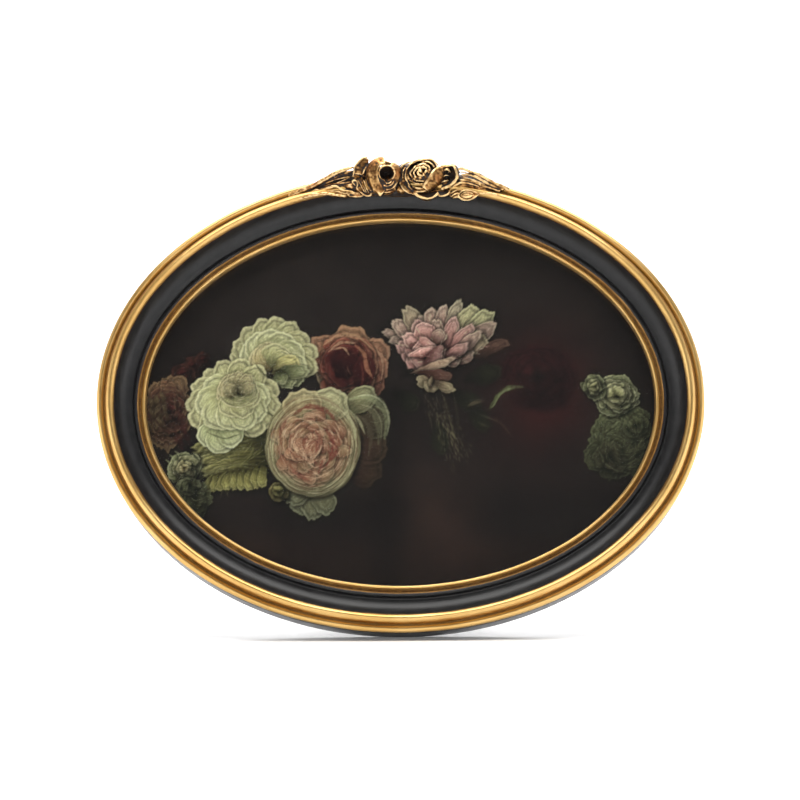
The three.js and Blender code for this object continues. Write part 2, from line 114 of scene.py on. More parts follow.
def grid_faces(rows, cols, wrap_rows=False, wrap_cols=False, base=0, flip=False):
    r = np.arange(rows if wrap_rows else rows - 1)
    c = np.arange(cols if wrap_cols else cols - 1)
    R, C = np.meshgrid(r, c, indexing="ij")
    R2, C2 = (R + 1) % rows, (C + 1) % cols
    q = np.stack([R * cols + C, R * cols + C2, R2 * cols + C2, R2 * cols + C], -1).reshape(-1, 4) + base
    return q[:, ::-1] if flip else q


def give(ob, name, values, kind="FLOAT"):
    a = ob.data.attributes.new(name, kind, "POINT")
    v = np.asarray(values, np.float32)
    a.data.foreach_set({"FLOAT": "value", "FLOAT_VECTOR": "vector", "FLOAT_COLOR": "color"}[kind], v.ravel())
    return a


def settle(ob, body, node=None, mat=None):
    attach(ob, body)
    if node:
        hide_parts(*([node] if isinstance(node, str) else node))
    if mat:
        ob.data.materials.clear()
        ob.data.materials.append(mat)
    return ob


def outward(ob):
    """Faces turned out, by the mesh's own volume."""
    bm = bmesh.new()
    bm.from_mesh(ob.data)
    bmesh.ops.recalc_face_normals(bm, faces=bm.faces)
    if bm.calc_volume(signed=True) < 0:
        bmesh.ops.reverse_faces(bm, faces=bm.faces)
    bm.to_mesh(ob.data)
    bm.free()
    return ob


def by_angle(ob, degrees=35):
    """Sharp edges over this angle, smooth under it."""
    me = ob.data
    me.shade_smooth()
    me.set_sharp_from_angle(angle=math.radians(degrees))
    return ob


def noise1(x, seed=0):
    """Smooth 1-D value noise in -1..1."""
    x = np.asarray(x, float)
    i = np.floor(x).astype(np.int64)
    f = x - i
    f = f * f * (3 - 2 * f)

    def h(k):
        k = (k * 374761393 + seed * 668265263) & 0xFFFFFFFF
        k = ((k ^ (k >> 13)) * 1274126177) & 0xFFFFFFFF
        return ((k ^ (k >> 16)) & 0xFFFF) / 32767.5 - 1
    return h(i) * (1 - f) + h(i + 1) * f


def noise2(x, y, seed=0):
    """Smooth 2-D value noise in -1..1."""
    x, y = np.asarray(x, float), np.asarray(y, float)
    xi, yi = np.floor(x).astype(np.int64), np.floor(y).astype(np.int64)
    fx, fy = x - xi, y - yi
    fx, fy = fx * fx * (3 - 2 * fx), fy * fy * (3 - 2 * fy)

    def h(a, b):
        k = (a * 374761393 + b * 668265263 + seed * 974634777) & 0xFFFFFFFF
        k = ((k ^ (k >> 13)) * 1274126177) & 0xFFFFFFFF
        return ((k ^ (k >> 16)) & 0xFFFF) / 32767.5 - 1
    return (h(xi, yi) * (1 - fx) + h(xi + 1, yi) * fx) * (1 - fy) + (h(xi, yi + 1) * (1 - fx) + h(xi + 1, yi + 1) * fx) * fy


# ------------------------------------------------------------------ node materials
class Nodes:
    def __init__(self, name):
        self.m = bpy.data.materials.new(name)
        self.m.use_nodes = True
        self.t = self.m.node_tree
        self.t.nodes.clear()
        self.out = self.t.nodes.new("ShaderNodeOutputMaterial")
        self.p = self.t.nodes.new("ShaderNodeBsdfPrincipled")
        self.t.links.new(self.p.outputs[0], self.out.inputs[0])

    def _in(self, node, key, value):
        s = node.inputs[key]
        if isinstance(value, bpy.types.NodeSocket):
            self.t.links.new(value, s)
        elif value is not None:
            if s.type == "RGBA" and len(value) == 3:
                value = (*value, 1)
            s.default_value = value

    def node(self, kind, out=0, props=None, **inputs):
        n = self.t.nodes.new("ShaderNode" + kind)
        for k, v in (props or {}).items():
            setattr(n, k, v)
        for k, v in inputs.items():
            self._in(n, int(k[1:]) if k[0] == "i" and k[1:].isdigit() else k.replace("_", " "), v)
        return n.outputs[out]

    def attr(self, name, out="Fac"):
        n = self.t.nodes.new("ShaderNodeAttribute")
        n.attribute_type = "GEOMETRY"
        n.attribute_name = name
        return n.outputs[out]

    def obj(self):
        return self.node("TexCoord", out="Object")

    def math(self, op, a, b=None, c=None, clamp=False):
        n = self.t.nodes.new("ShaderNodeMath")
        n.operation, n.use_clamp = op, clamp
        for i, v in enumerate((a, b, c)):
            if v is not None:
                self._in(n, i, v)
        return n.outputs[0]

    def add(self, a, b): return self.math("ADD", a, b)
    def sub(self, a, b): return self.math("SUBTRACT", a, b)
    def mul(self, a, b): return self.math("MULTIPLY", a, b)

    def mapr(self, v, a, b, c=0.0, d=1.0, smooth=True):
        n = self.t.nodes.new("ShaderNodeMapRange")
        n.interpolation_type = "SMOOTHSTEP" if smooth else "LINEAR"
        for i, x in enumerate((v, a, b, c, d)):
            self._in(n, i, x)
        return n.outputs[0]

    def band(self, v, centre, half, soft):
        up = self.mapr(v, centre - half - soft, centre - half + soft)
        down = self.mapr(v, centre + half - soft, centre + half + soft, 1.0, 0.0)
        return self.mul(up, down)

    def mix(self, fac, a, b, mode="MIX"):
        n = self.t.nodes.new("ShaderNodeMix")
        n.data_type, n.blend_type = "RGBA", mode
        n.clamp_factor = True
        self._in(n, 0, fac)
        self._in(n, 6, a)
        self._in(n, 7, b)
        return n.outputs[2]

    def scale(self, vec, s):
        n = self.t.nodes.new("ShaderNodeVectorMath")
        n.operation = "MULTIPLY"
        self._in(n, 0, vec)
        n.inputs[1].default_value = s if hasattr(s, "__len__") else (s, s, s)
        return n.outputs[0]

    def noise(self, vec, scale, detail=2.0, rough=0.5, distort=0.0, out=0):
        n = self.t.nodes.new("ShaderNodeTexNoise")
        self._in(n, "Vector", vec)
        self._in(n, "Scale", scale)
        self._in(n, "Detail", detail)
        self._in(n, "Roughness", rough)
        self._in(n, "Distortion", distort)
        return n.outputs[out]

    def voronoi(self, vec, scale, feature="F1", out=0):
        n = self.t.nodes.new("ShaderNodeTexVoronoi")
        n.feature = feature
        self._in(n, "Vector", vec)
        self._in(n, "Scale", scale)
        return n.outputs[out]

    def bump(self, height, strength, distance, normal=None):
        n = self.t.nodes.new("ShaderNodeBump")
        self._in(n, "Height", height)
        self._in(n, "Strength", strength)
        self._in(n, "Distance", distance)
        if normal is not None:
            self._in(n, "Normal", normal)
        return n.outputs[0]

    def set(self, **inputs):
        for k, v in inputs.items():
            self._in(self.p, k.replace("_", " "), v)
        return self


def srgb(r, g, b):
    """0-255 display values to linear."""
    return tuple(((v / 255 / 12.92) if v / 255 <= 0.04045 else ((v / 255 + 0.055) / 1.055) ** 2.4) for v in (r, g, b))


# ------------------------------------------------------------------ camera, lights and floor
scene = bpy.context.scene
scene.view_settings.view_transform = "Standard"
scene.view_settings.look = "None"
scene.view_settings.exposure = 0.0

CAM_AZ, CAM_EL, CAM_D, CAM_ROLL = 0.05, 1.4, 1000.0, 0.3
LENS = 132.25
AIM = np.array([0.1, 0.0, 9.0])  # local mm at the middle of the view
SHIFT = (-0.0011, 0.0023)


def make_camera():
    cam = bpy.data.cameras.new("camera")
    cam.lens, cam.sensor_width = LENS, 36.0
    cam.clip_start, cam.clip_end = 0.01, 20.0
    ob = bpy.data.objects.new("camera", cam)
    scene.collection.objects.link(ob)
    a, e = math.radians(CAM_AZ), math.radians(CAM_EL)
    back = Vector((math.sin(a) * math.cos(e), -math.cos(a) * math.cos(e), math.sin(e)))
    aim = Vector(world(AIM)[0])
    ob.location = aim + back * (CAM_D / 1000)
    q = (-back).to_track_quat("-Z", "Y").to_matrix().to_4x4()
    ob.matrix_world = Matrix.Translation(ob.location) @ q @ Matrix.Rotation(math.radians(-CAM_ROLL), 4, "Z")
    cam.shift_x, cam.shift_y = SHIFT
    scene.camera = ob
    return ob


make_camera()


def area(name, at, to, size, power, colour=(1, 1, 1), size_y=None):
    l = bpy.data.lights.new(name, "AREA")
    l.energy, l.color, l.size = power, colour, size
    if size_y:
        l.shape, l.size_y = "RECTANGLE", size_y
    o = bpy.data.objects.new(name, l)
    o.location = at
    o.rotation_mode = "QUATERNION"
    o.rotation_quaternion = (Vector(to) - Vector(at)).to_track_quat("-Z", "Y")
    scene.collection.objects.link(o)
    return o


w = bpy.data.worlds.new("studio")
w.use_nodes = True
w.node_tree.nodes["Background"].inputs[0].default_value = (1.0, 1.0, 1.0, 1)
w.node_tree.nodes["Background"].inputs[1].default_value = 0.06
scene.world = w
area("top_light", (0.0, -0.12, 0.95), (0.0, 0.02, 0.08), 1.1, 12.6, (1.0, 0.985, 0.96), 0.7)
area("left_light", (-0.95, -0.35, 0.42), (0, 0, 0.08), 0.8, 1.7, (1.0, 0.98, 0.95), 0.9)
area("right_light", (0.95, -0.30, 0.40), (0, 0, 0.08), 0.8, 1.5, (1.0, 0.98, 0.95), 0.9)
area("front_light", (0.25, -1.7, 0.25), (0, 0, 0.08), 0.6, 1.5, (1.0, 0.985, 0.97), 0.6)
area("back_light", (0.0, 1.0, 1.0), (0, 0.6, 0.1), 1.4, 16.0, (1, 1, 1), 0.8)


def backdrop():
    """A pale round sweep: floor, a smooth curve, a low rim all round and a high wall at the rear."""
    v, n, m0 = [], 0, 64
    for k in range(m0):
        f = 2 * math.pi * k / m0
        t = min(1.0, max(0.0, (math.sin(f) - 0.15) / 0.35))
        top = 0.62 + 1.9 * t * t * (3 - 2 * t)
        prof = [(r, 0.0) for r in (0.02, 0.3, 0.8, 1.3)]
        prof += [(1.5 + 0.45 * math.sin(a), 0.45 - 0.45 * math.cos(a)) for a in np.linspace(0, math.pi / 2, 12)]
        prof += [(1.95, 0.45 + (top - 0.45) * q) for q in (0.35, 0.7, 1.0)]
        n = len(prof)
        v += [(r * math.cos(f), r * math.sin(f), z) for r, z in prof]
    faces = [tuple(q) for q in grid_faces(m0, n, True, False)] + [tuple(n * k for k in range(m0))]
    ob = make("floor", v, faces)
    bm = bmesh.new()
    bm.from_mesh(ob.data)
    bmesh.ops.recalc_face_normals(bm, faces=bm.faces)
    bm.faces.ensure_lookup_table()
    if bm.faces[len(bm.faces) - 1].normal.z < 0:
        bmesh.ops.reverse_faces(bm, faces=bm.faces)
    bm.to_mesh(ob.data)
    bm.free()
    m = Nodes("glowing_floor_paper")
    co = m.obj()
    n1 = m.noise(co, 900.0, 3, 0.6)
    m.set(Base_Color=m.mix(m.mapr(n1, 0.3, 0.7), (0.90, 0.90, 0.905), (0.935, 0.935, 0.94)), Roughness=0.8,
          Normal=m.bump(n1, 0.08, 0.0003))
    # painted light: the paper glows by emission, 0.08 within 0.9 m of the middle, rising to 0.45 beyond 1.8 m
    ln = m.t.nodes.new("ShaderNodeVectorMath")
    ln.operation = "LENGTH"
    m.t.links.new(co, ln.inputs[0])
    m.t.links.new(m.mapr(ln.outputs["Value"], 0.9, 1.8, 0.08, 0.45), m.p.inputs["Emission Strength"])
    m.p.inputs["Emission Color"].default_value = (1, 1, 1, 1)
    m.p.inputs["Specular IOR Level"].default_value = 0.2
    ob.data.materials.append(m.m)


backdrop()

# ------------------------------------------------------------------ the moulding
CORNERS = {0, 2, 3, 8, 16, 22, 26, 33, 34, 35}
SECTION = [
    (1.0, 0.0), (0.35, 0.25), (0.0, 1.2),  # 0-2 rear edge
    (0.0, 12.1), (0.12, 12.45), (0.3, 12.62), (0.22, 12.9), (0.02, 13.35),  # 3-7 wall, hairline under the bead
    (0.1, 13.9), (0.55, 14.5), (1.2, 14.78), (1.8, 14.6), (2.2, 14.15),  # 8-12 outer bead
    (2.42, 13.75), (2.6, 13.85), (2.85, 14.6), (3.2, 15.55),  # 13-16 groove
    (3.75, 16.4), (4.45, 16.85), (5.1, 16.7), (5.6, 16.2), (5.86, 15.75), (6.0, 15.35),  # 17-22 ridge
    (6.7, 13.55), (8.0, 11.55), (10.0, 10.15), (12.0, 9.62),  # 23-26 cove
    (12.15, 10.2), (12.55, 10.72), (13.05, 10.92), (13.45, 10.8),  # 27-30 fillet
    (13.75, 10.45), (14.15, 9.85), (14.55, 9.6),  # 31-33 lip groove
    (14.9, 10.15), (15.3, 10.72),  # 34-35
    (15.75, 10.85), (16.15, 10.45), (16.38, 9.7), (16.45, 8.6), (16.45, 8.05), (16.2, 8.0),  # lip bead and sight edge
    (11.3, 8.0), (11.3, 0.0),  # rabbet
]
SPLITS = [0, 2, 3, 5, 13, 22, 26, 30, 33, 38, 41, 42, 43]  # the curve is smooth between these points


def catmull(points, per):
    """A centripetal curve through points, per samples to a span, without its last point."""
    P = np.asarray(points, float)
    if len(P) == 2:
        t = np.linspace(0, 1, per * 2, endpoint=False)[:, None]
        return P[0] * (1 - t) + P[1] * t
    Q = np.vstack([2 * P[0] - P[1], P, 2 * P[-1] - P[-2]])
    out = []
    for i in range(1, len(Q) - 2):
        p0, p1, p2, p3 = Q[i - 1: i + 3]
        t0 = 0.0
        t1 = t0 + max(1e-6, np.linalg.norm(p1 - p0)) ** 0.5
        t2 = t1 + max(1e-6, np.linalg.norm(p2 - p1)) ** 0.5
        t3 = t2 + max(1e-6, np.linalg.norm(p3 - p2)) ** 0.5
        t = np.linspace(t1, t2, per, endpoint=False)[:, None]
        A1 = (t1 - t) / (t1 - t0) * p0 + (t - t0) / (t1 - t0) * p1
        A2 = (t2 - t) / (t2 - t1) * p1 + (t - t1) / (t2 - t1) * p2
        A3 = (t3 - t) / (t3 - t2) * p2 + (t - t2) / (t3 - t2) * p3
        B1 = (t2 - t) / (t2 - t0) * A1 + (t - t0) / (t2 - t0) * A2
        B2 = (t3 - t) / (t3 - t1) * A2 + (t - t1) / (t3 - t1) * A3
        out.append((t2 - t) / (t2 - t1) * B1 + (t - t1) / (t2 - t1) * B2)
    return np.vstack(out)


def fine_section():
    parts = []
    for a, b in zip(SPLITS[:-1], SPLITS[1:]):
        long = np.linalg.norm(np.subtract(SECTION[a], SECTION[b])) > 6 and b - a == 1
        parts.append(catmull(SECTION[a: b + 1], 6 if long else 3))
    parts.append(catmull([SECTION[43], SECTION[0]], 3))
    return np.vstack(parts)


def moulding():
    sec = fine_section()
    n, N = len(sec), 600
    seg = np.linalg.norm(np.diff(np.vstack([sec, sec[:1]]), axis=0), axis=1)
    S = np.concatenate([[0], np.cumsum(seg)[:-1]])
    th = 2 * np.pi * np.arange(N) / N
    nxt, prv = np.roll(sec, -1, 0), np.roll(sec, 1, 0)
    tan = nxt - prv
    nor = np.stack([-tan[:, 1], tan[:, 0]], 1)
    nor /= np.linalg.norm(nor, axis=1)[:, None] + 1e-9
    T, J = np.meshgrid(th, np.arange(n), indexing="ij")
    # the slight unevenness of a cast, hand-gilded moulding, on its face only
    ring = T * 90.0 / 1.0
    per = lambda k, s: noise2(np.cos(T) * k * 1.3, np.sin(T) * k + S[J] * 0.9, s)
    wob = 0.045 * per(9.0, 3) + 0.025 * per(26.0, 4)
    face = np.clip((sec[J, 1] - 9.0) / 1.5, 0, 1) * (sec[J, 0] > 0.0)
    d = sec[J, 0] + nor[J, 0] * wob * face
    h = sec[J, 1] + nor[J, 1] * wob * face
    x, y = (OUTER_A - d) * np.cos(T), (OUTER_B - d) * np.sin(T)
    pts = np.stack([x, y, h], -1).reshape(-1, 3)
    ob = make("moulding", world(pts), grid_faces(N, n, True, True))
    outward(ob)
    # past the sight edge the count runs up to zero again, so that the seam lies under the glass
    seat = S[int(np.argmin(np.hypot(sec[:, 0] - SECTION[41][0], sec[:, 1] - SECTION[41][1])))]
    give(ob, "sect", np.where(S > seat + 0.01, S - S[-1] - seg[-1], S)[J].ravel())
    give(ob, "ringco", np.stack([103 * np.cos(T), 79.5 * np.sin(T), S[J]], -1).reshape(-1, 3), "FLOAT_VECTOR")
    # a bake map of four strips
    me = ob.data
    uv = me.uv_layers.new(name="OFBake")
    loops = np.zeros(len(me.loops), np.int64)
    me.loops.foreach_get("vertex_index", loops)
    li, lj = loops // n, loops % n
    quad = np.zeros(len(me.loops) , np.int64)
    start = np.zeros(len(me.polygons), np.int64)
    total = np.zeros(len(me.polygons), np.int64)
    me.polygons.foreach_get("loop_start", start)
    me.polygons.foreach_get("loop_total", total)
    poly = np.repeat(np.arange(len(me.polygons)), total)
    imin = np.full(len(me.polygons), 10 ** 9)
    imax = np.zeros(len(me.polygons), np.int64)
    np.minimum.at(imin, poly, li)
    np.maximum.at(imax, poly, li)
    jmin = np.full(len(me.polygons), 10 ** 9)
    jmax = np.zeros(len(me.polygons), np.int64)
    np.minimum.at(jmin, poly, lj)
    np.maximum.at(jmax, poly, lj)
    ii = np.where((imax - imin)[poly] > 1, np.where(li == 0, N, li), li)
    i0 = np.where(imax - imin > 1, imax, imin)
    jj = np.where((jmax - jmin)[poly] > 1, np.where(lj == 0, n, lj), lj)
    strips = 4
    q = N // strips
    strip = i0[poly] // q
    L = np.append(S, S[-1] + seg[-1])
    u = 0.01 + 0.98 * (ii - strip * q) / q
    v = (strip + 0.03 + 0.94 * L[jj] / L[-1]) / strips
    uv.data.foreach_set("uv", np.stack([u, v], 1).astype(np.float32).ravel())
    key = {k: S[int(np.argmin(np.linalg.norm(sec - np.array(SECTION[k]), axis=1)))] for k in range(len(SECTION))}
    return ob, key


ring_ob, KEY = moulding()


def gilt_nodes(m, co, streak):
    """Colour, metal and roughness of worn gilding: leaf tone, streaks, and fine pale flecks painted in as glints."""
    big = m.noise(co, 55.0, 3, 0.55)
    fine = m.noise(co, 900.0, 3, 0.65)
    base = m.mix(m.mapr(big, 0.3, 0.72), (0.63, 0.385, 0.125), (0.74, 0.49, 0.19))
    base = m.mix(m.mapr(streak, 0.42, 0.78, 0.0, 0.30), base, (0.44, 0.24, 0.065))
    # painted highlight: fine pale gold flecks for glints
    base = m.mix(m.mapr(fine, 0.55, 0.85, 0.0, 0.16), base, (0.88, 0.65, 0.33))
    return base, big, fine


def moulding_material():
    m = Nodes("gilt_and_black")
    co = m.obj()
    ringco = m.attr("ringco", "Vector")
    s = m.attr("sect")
    streak = m.noise(m.scale(ringco, (0.045, 0.045, 1.9)), 1.0, 4, 0.6)
    slow = m.noise(m.scale(ringco, (0.09, 0.09, 0.02)), 1.0, 3, 0.6)
    speck = m.noise(co, 1500.0, 2, 0.6)
    patch = m.noise(co, 220.0, 3, 0.6)
    wob = m.add(m.mul(m.sub(slow, 0.5), 0.5), m.mul(m.sub(speck, 0.5), 0.28))
    sw = m.add(s, wob)
    g0, g1, g2 = KEY[6], KEY[22], KEY[30] + 0.25
    rear = KEY[41]
    outer = m.mul(m.mapr(sw, g0 - 0.12, g0 + 0.12), m.mapr(sw, g1 - 0.1, g1 + 0.08, 1.0, 0.0))
    inner = m.mul(m.mapr(sw, g2 - 0.1, g2 + 0.1), m.mapr(s, rear - 0.2, rear + 0.2, 1.0, 0.0))
    gold = m.math("ADD", outer, inner, clamp=True)
    base, big, fine = gilt_nodes(m, co, streak)
    # umber left in the grooves and beside the black
    groove = m.band(s, KEY[13] + 0.1, 0.45, 0.75)
    lipg = m.band(s, KEY[33] - 0.15, 0.75, 0.5)
    under = m.band(s, KEY[5], 0.35, 0.3)
    sight = m.mapr(s, KEY[37], KEY[38] + 0.3)
    edge = m.mul(m.band(s, KEY[22], 0.05, 0.5), m.mapr(patch, 0.45, 0.62))
    worn = m.mul(m.mapr(speck, 0.66, 0.74), m.mapr(patch, 0.54, 0.66, 0.0, 0.45))
    dirt = m.math("MAXIMUM", m.math("MAXIMUM", m.mul(groove, 0.92), m.mul(lipg, 0.95)), m.math("MAXIMUM", m.mul(sight, 0.75), m.mul(edge, 0.6)))
    dirt = m.mul(dirt, m.mapr(patch, 0.2, 0.55, 0.86, 1.0))
    dirt = m.math("MAXIMUM", dirt, worn)
    umber = m.mix(m.mapr(fine, 0.35, 0.7), (0.085, 0.036, 0.008), (0.19, 0.09, 0.022))
    goldc = m.mix(dirt, base, umber)
    # black paint, a red-brown line of bole at its edge, and a few rubbed pale marks
    pn = m.noise(co, 300.0, 4, 0.6)
    black = m.mix(m.mapr(pn, 0.3, 0.7), (0.0085, 0.0085, 0.009), (0.0145, 0.0145, 0.0155))
    bole = m.math("MAXIMUM", m.band(sw, g1 + 0.22, 0.12, 0.14), m.mul(m.band(sw, g2 - 0.22, 0.06, 0.12), 0.7))
    black = m.mix(m.mul(bole, 0.75), black, (0.11, 0.038, 0.02))
    rub = m.mul(m.mapr(m.noise(m.scale(ringco, (0.10, 0.10, 2.2)), 1.0, 5, 0.7), 0.70, 0.76),
                m.math("MAXIMUM", m.band(s, g1 + 0.9, 0.35, 0.3), m.band(s, KEY[28], 0.3, 0.3)))
    black = m.mix(m.mul(rub, 0.55), black, (0.20, 0.19, 0.17))
    m.set(Base_Color=m.mix(gold, black, goldc),
          Metallic=m.mul(gold, m.mapr(dirt, 0.0, 1.0, 1.0, 0.45)),
          Roughness=m.mix(gold, m.add(0.36, m.mul(m.sub(pn, 0.5), 0.16)),
                          m.add(m.add(0.33, m.mul(dirt, 0.2)), m.mul(m.sub(fine, 0.5), 0.12))))
    h = m.add(m.mul(fine, 0.5), m.mul(streak, 0.8))
    m.set(Normal=m.bump(h, 0.10, 0.00014))
    m.p.inputs["Specular IOR Level"].default_value = 0.34
    return m.m


GILT = moulding_material()
settle(ring_ob, "frame", "frame_moulding", GILT)

# ------------------------------------------------------------------ simple procedural materials
def metal(name, c1, c2, rough, scratch=(1, 1, 1)):
    m = Nodes(name)
    co = m.obj()
    n1 = m.noise(m.scale(co, scratch), 2500.0, 3, 0.6)
    n2 = m.noise(co, 160.0, 3, 0.55)
    spots = m.mapr(m.noise(co, 700.0, 2, 0.5), 0.66, 0.74)
    c = m.mix(m.mapr(n2, 0.3, 0.7), c1, c2)
    c = m.mix(m.mul(spots, 0.5), c, (0.10, 0.07, 0.04))
    m.set(Base_Color=c, Metallic=m.mapr(spots, 0, 1, 1.0, 0.55),
          Roughness=m.add(m.add(rough - 0.06, m.mul(n1, 0.16)), m.mul(spots, 0.2)), Normal=m.bump(n1, 0.18, 0.00006))
    return m.m


BRASS = metal("brassed_steel", (0.62, 0.44, 0.17), (0.72, 0.54, 0.25), 0.3, (1, 0.15, 1))
ZINC = metal("zinc_steel", (0.50, 0.49, 0.47), (0.62, 0.61, 0.58), 0.28, (0.2, 1, 1))


def velvet():
    m = Nodes("black_velvet")
    co = m.obj()
    pile = m.noise(co, 5200.0, 3, 0.7)
    nap = m.noise(m.scale(co, (1, 1, 0.35)), 60.0, 4, 0.6, 0.6)
    tuft = m.noise(co, 1400.0, 2, 0.6)
    c = m.mix(m.mapr(nap, 0.35, 0.68), (0.010, 0.009, 0.010), (0.026, 0.024, 0.026))
    c = m.mix(m.mapr(tuft, 0.45, 0.8, 0.0, 0.6), c, (0.042, 0.039, 0.042))
    m.set(Base_Color=c, Roughness=m.mapr(nap, 0.3, 0.7, 0.82, 0.98),
          Normal=m.bump(m.add(m.mul(pile, 0.7), m.mul(tuft, 0.6)), 0.7, 0.00025))
    m.p.inputs["Sheen Weight"].default_value = 0.65
    m.p.inputs["Sheen Roughness"].default_value = 0.45
    m.p.inputs["Sheen Tint"].default_value = (0.75, 0.73, 0.76, 1)
    m.p.inputs["Specular IOR Level"].default_value = 0.15
    return m.m


VELVET = velvet()


def card():
    m = Nodes("grey_card")
    co = m.obj()
    f = m.noise(m.scale(co, (1, 1, 3)), 1300.0, 4, 0.65)
    b = m.noise(co, 90.0, 3)
    m.set(Base_Color=m.mix(m.mapr(f, 0.3, 0.75), m.mix(b, (0.30, 0.25, 0.17), (0.38, 0.33, 0.24)), (0.50, 0.45, 0.34)),
          Roughness=m.mapr(f, 0.2, 0.8, 0.8, 0.95), Normal=m.bump(f, 0.4, 0.0001))
    return m.m


CARD = card()


def ribbon_cloth():
    m = Nodes("grosgrain")
    co = m.attr("strapco", "Vector")
    sep = m.t.nodes.new("ShaderNodeSeparateXYZ")
    m.t.links.new(co, sep.inputs[0])
    rib = m.math("ABSOLUTE", m.math("SINE", m.mul(sep.outputs[1], math.pi / 0.42)))
    yarn = m.math("ABSOLUTE", m.math("SINE", m.mul(sep.outputs[0], math.pi / 0.22)))
    fuzz = m.noise(m.obj(), 4200.0, 3, 0.6)
    # painted shade and light: each rib is coloured darker in its trough and lighter on its crest
    c = m.mix(m.mapr(rib, 0.1, 0.9), (0.008, 0.0075, 0.008), (0.032, 0.03, 0.033))
    c = m.mix(m.mapr(fuzz, 0.5, 0.85, 0.0, 0.5), c, (0.06, 0.057, 0.06))
    hem = m.mapr(m.math("ABSOLUTE", sep.outputs[0]), 4.2, 4.5)
    c = m.mix(m.mul(hem, 0.5), c, (0.05, 0.047, 0.05))
    m.set(Base_Color=c, Roughness=m.mapr(rib, 0.0, 1.0, 0.9, 0.62),
          Normal=m.bump(m.add(m.mul(rib, 0.9), m.mul(m.mul(yarn, rib), 0.35)), 0.8, 0.00012))
    m.p.inputs["Sheen Weight"].default_value = 0.3
    m.p.inputs["Specular IOR Level"].default_value = 0.35
    return m.m


RIBBON = ribbon_cloth()


def glass():
    m = Nodes("pane_glass")
    co = m.obj()
    smear = m.noise(co, 18.0, 4, 0.6, 0.8)
    dust = m.noise(co, 1800.0, 2, 0.5)
    m.set(Roughness=m.add(m.mapr(smear, 0.4, 0.75, 0.012, 0.05), m.mapr(dust, 0.66, 0.8, 0.0, 0.06)))
    m.p.inputs["Base Color"].default_value = (0.985, 0.99, 0.985, 1)
    m.p.inputs["Transmission Weight"].default_value = 1.0
    m.p.inputs["IOR"].default_value = 1.5
    t = m.t.nodes.new("ShaderNodeBsdfTransparent")
    t.inputs[0].default_value = (0.97, 0.975, 0.97, 1)
    lp = m.t.nodes.new("ShaderNodeLightPath")
    mx = m.t.nodes.new("ShaderNodeMixShader")
    m.t.links.new(lp.outputs["Is Shadow Ray"], mx.inputs[0])
    m.t.links.new(m.p.outputs[0], mx.inputs[1])
    m.t.links.new(t.outputs[0], mx.inputs[2])
    m.t.links.new(mx.outputs[0], m.out.inputs[0])
    return m.m


GLASS = glass()


def wear(node, mat):
    o = frame["nodes"][node]
    o.data.materials.clear()
    o.data.materials.append(mat)


wear("glass_pane", GLASS)
wear("filler_card", CARD)


# ------------------------------------------------------------------ plates, turned pieces and wires
def oval(inset, n=256):
    t = 2 * np.pi * np.arange(n) / n
    return np.stack([(OUTER_A - inset) * np.cos(t), (OUTER_B - inset) * np.sin(t)], 1)


def circle(x, y, r, n=40):
    t = 2 * np.pi * np.arange(n) / n
    return np.stack([x + r * np.cos(t), y + r * np.sin(t)], 1)


def rounded(points, radius, per=6):
    """A polygon with its corners rounded off."""
    P = np.asarray(points, float)
    out = []
    for i in range(len(P)):
        a, b, c = P[i - 1], P[i], P[(i + 1) % len(P)]
        u, v = a - b, c - b
        lu, lv = np.linalg.norm(u), np.linalg.norm(v)
        u, v = u / lu, v / lv
        ang = math.acos(np.clip(u @ v, -1, 1))
        r = radius[i] if hasattr(radius, "__len__") else radius
        cut = min(r / max(1e-6, math.tan(ang / 2)), 0.45 * lu, 0.45 * lv)
        if r <= 0 or ang > math.radians(176):
            out.append(b)
            continue
        for k in range(per + 1):
            t = k / per
            out.append((1 - t) ** 2 * (b + u * cut) + 2 * t * (1 - t) * b + t * t * (b + v * cut))
    return np.array(out)


def plate(name, outline, holes, z0, z1, bevel, place):
    """A flat plate with eased edges: outlines in local mm, extruded from z0 to z1."""
    cu = bpy.data.curves.new(name + "_outline", "CURVE")
    cu.dimensions, cu.fill_mode = "2D", "BOTH"
    for loop in [outline, *holes]:
        sp = cu.splines.new("POLY")
        sp.points.add(len(loop) - 1)
        for k, (x, y) in enumerate(loop):
            sp.points[k].co = (x, y, 0, 1)
        sp.use_cyclic_u = True
    cu.extrude = (z1 - z0) / 2 - bevel
    cu.bevel_depth, cu.bevel_resolution, cu.offset = bevel, 2, -bevel
    ob = bpy.data.objects.new(name + "_c", cu)
    scene.collection.objects.link(ob)
    bpy.context.view_layer.update()
    me = bpy.data.meshes.new_from_object(ob.evaluated_get(bpy.context.evaluated_depsgraph_get()))
    bpy.data.objects.remove(ob)
    co = np.array([v.co for v in me.vertices], float)
    co[:, 2] += (z0 + z1) / 2
    me.vertices.foreach_set("co", place(co).astype(np.float32).ravel())
    out = bpy.data.objects.new(name, me)
    me.name = name
    scene.collection.objects.link(out)
    bm = bmesh.new()
    bm.from_mesh(me)
    bmesh.ops.remove_doubles(bm, verts=bm.verts, dist=1e-7)
    bmesh.ops.recalc_face_normals(bm, faces=bm.faces)
    if bm.calc_volume(signed=True) < 0:
        bmesh.ops.reverse_faces(bm, faces=bm.faces)
    bm.to_mesh(me)
    bm.free()
    by_angle(out, 40)
    return out


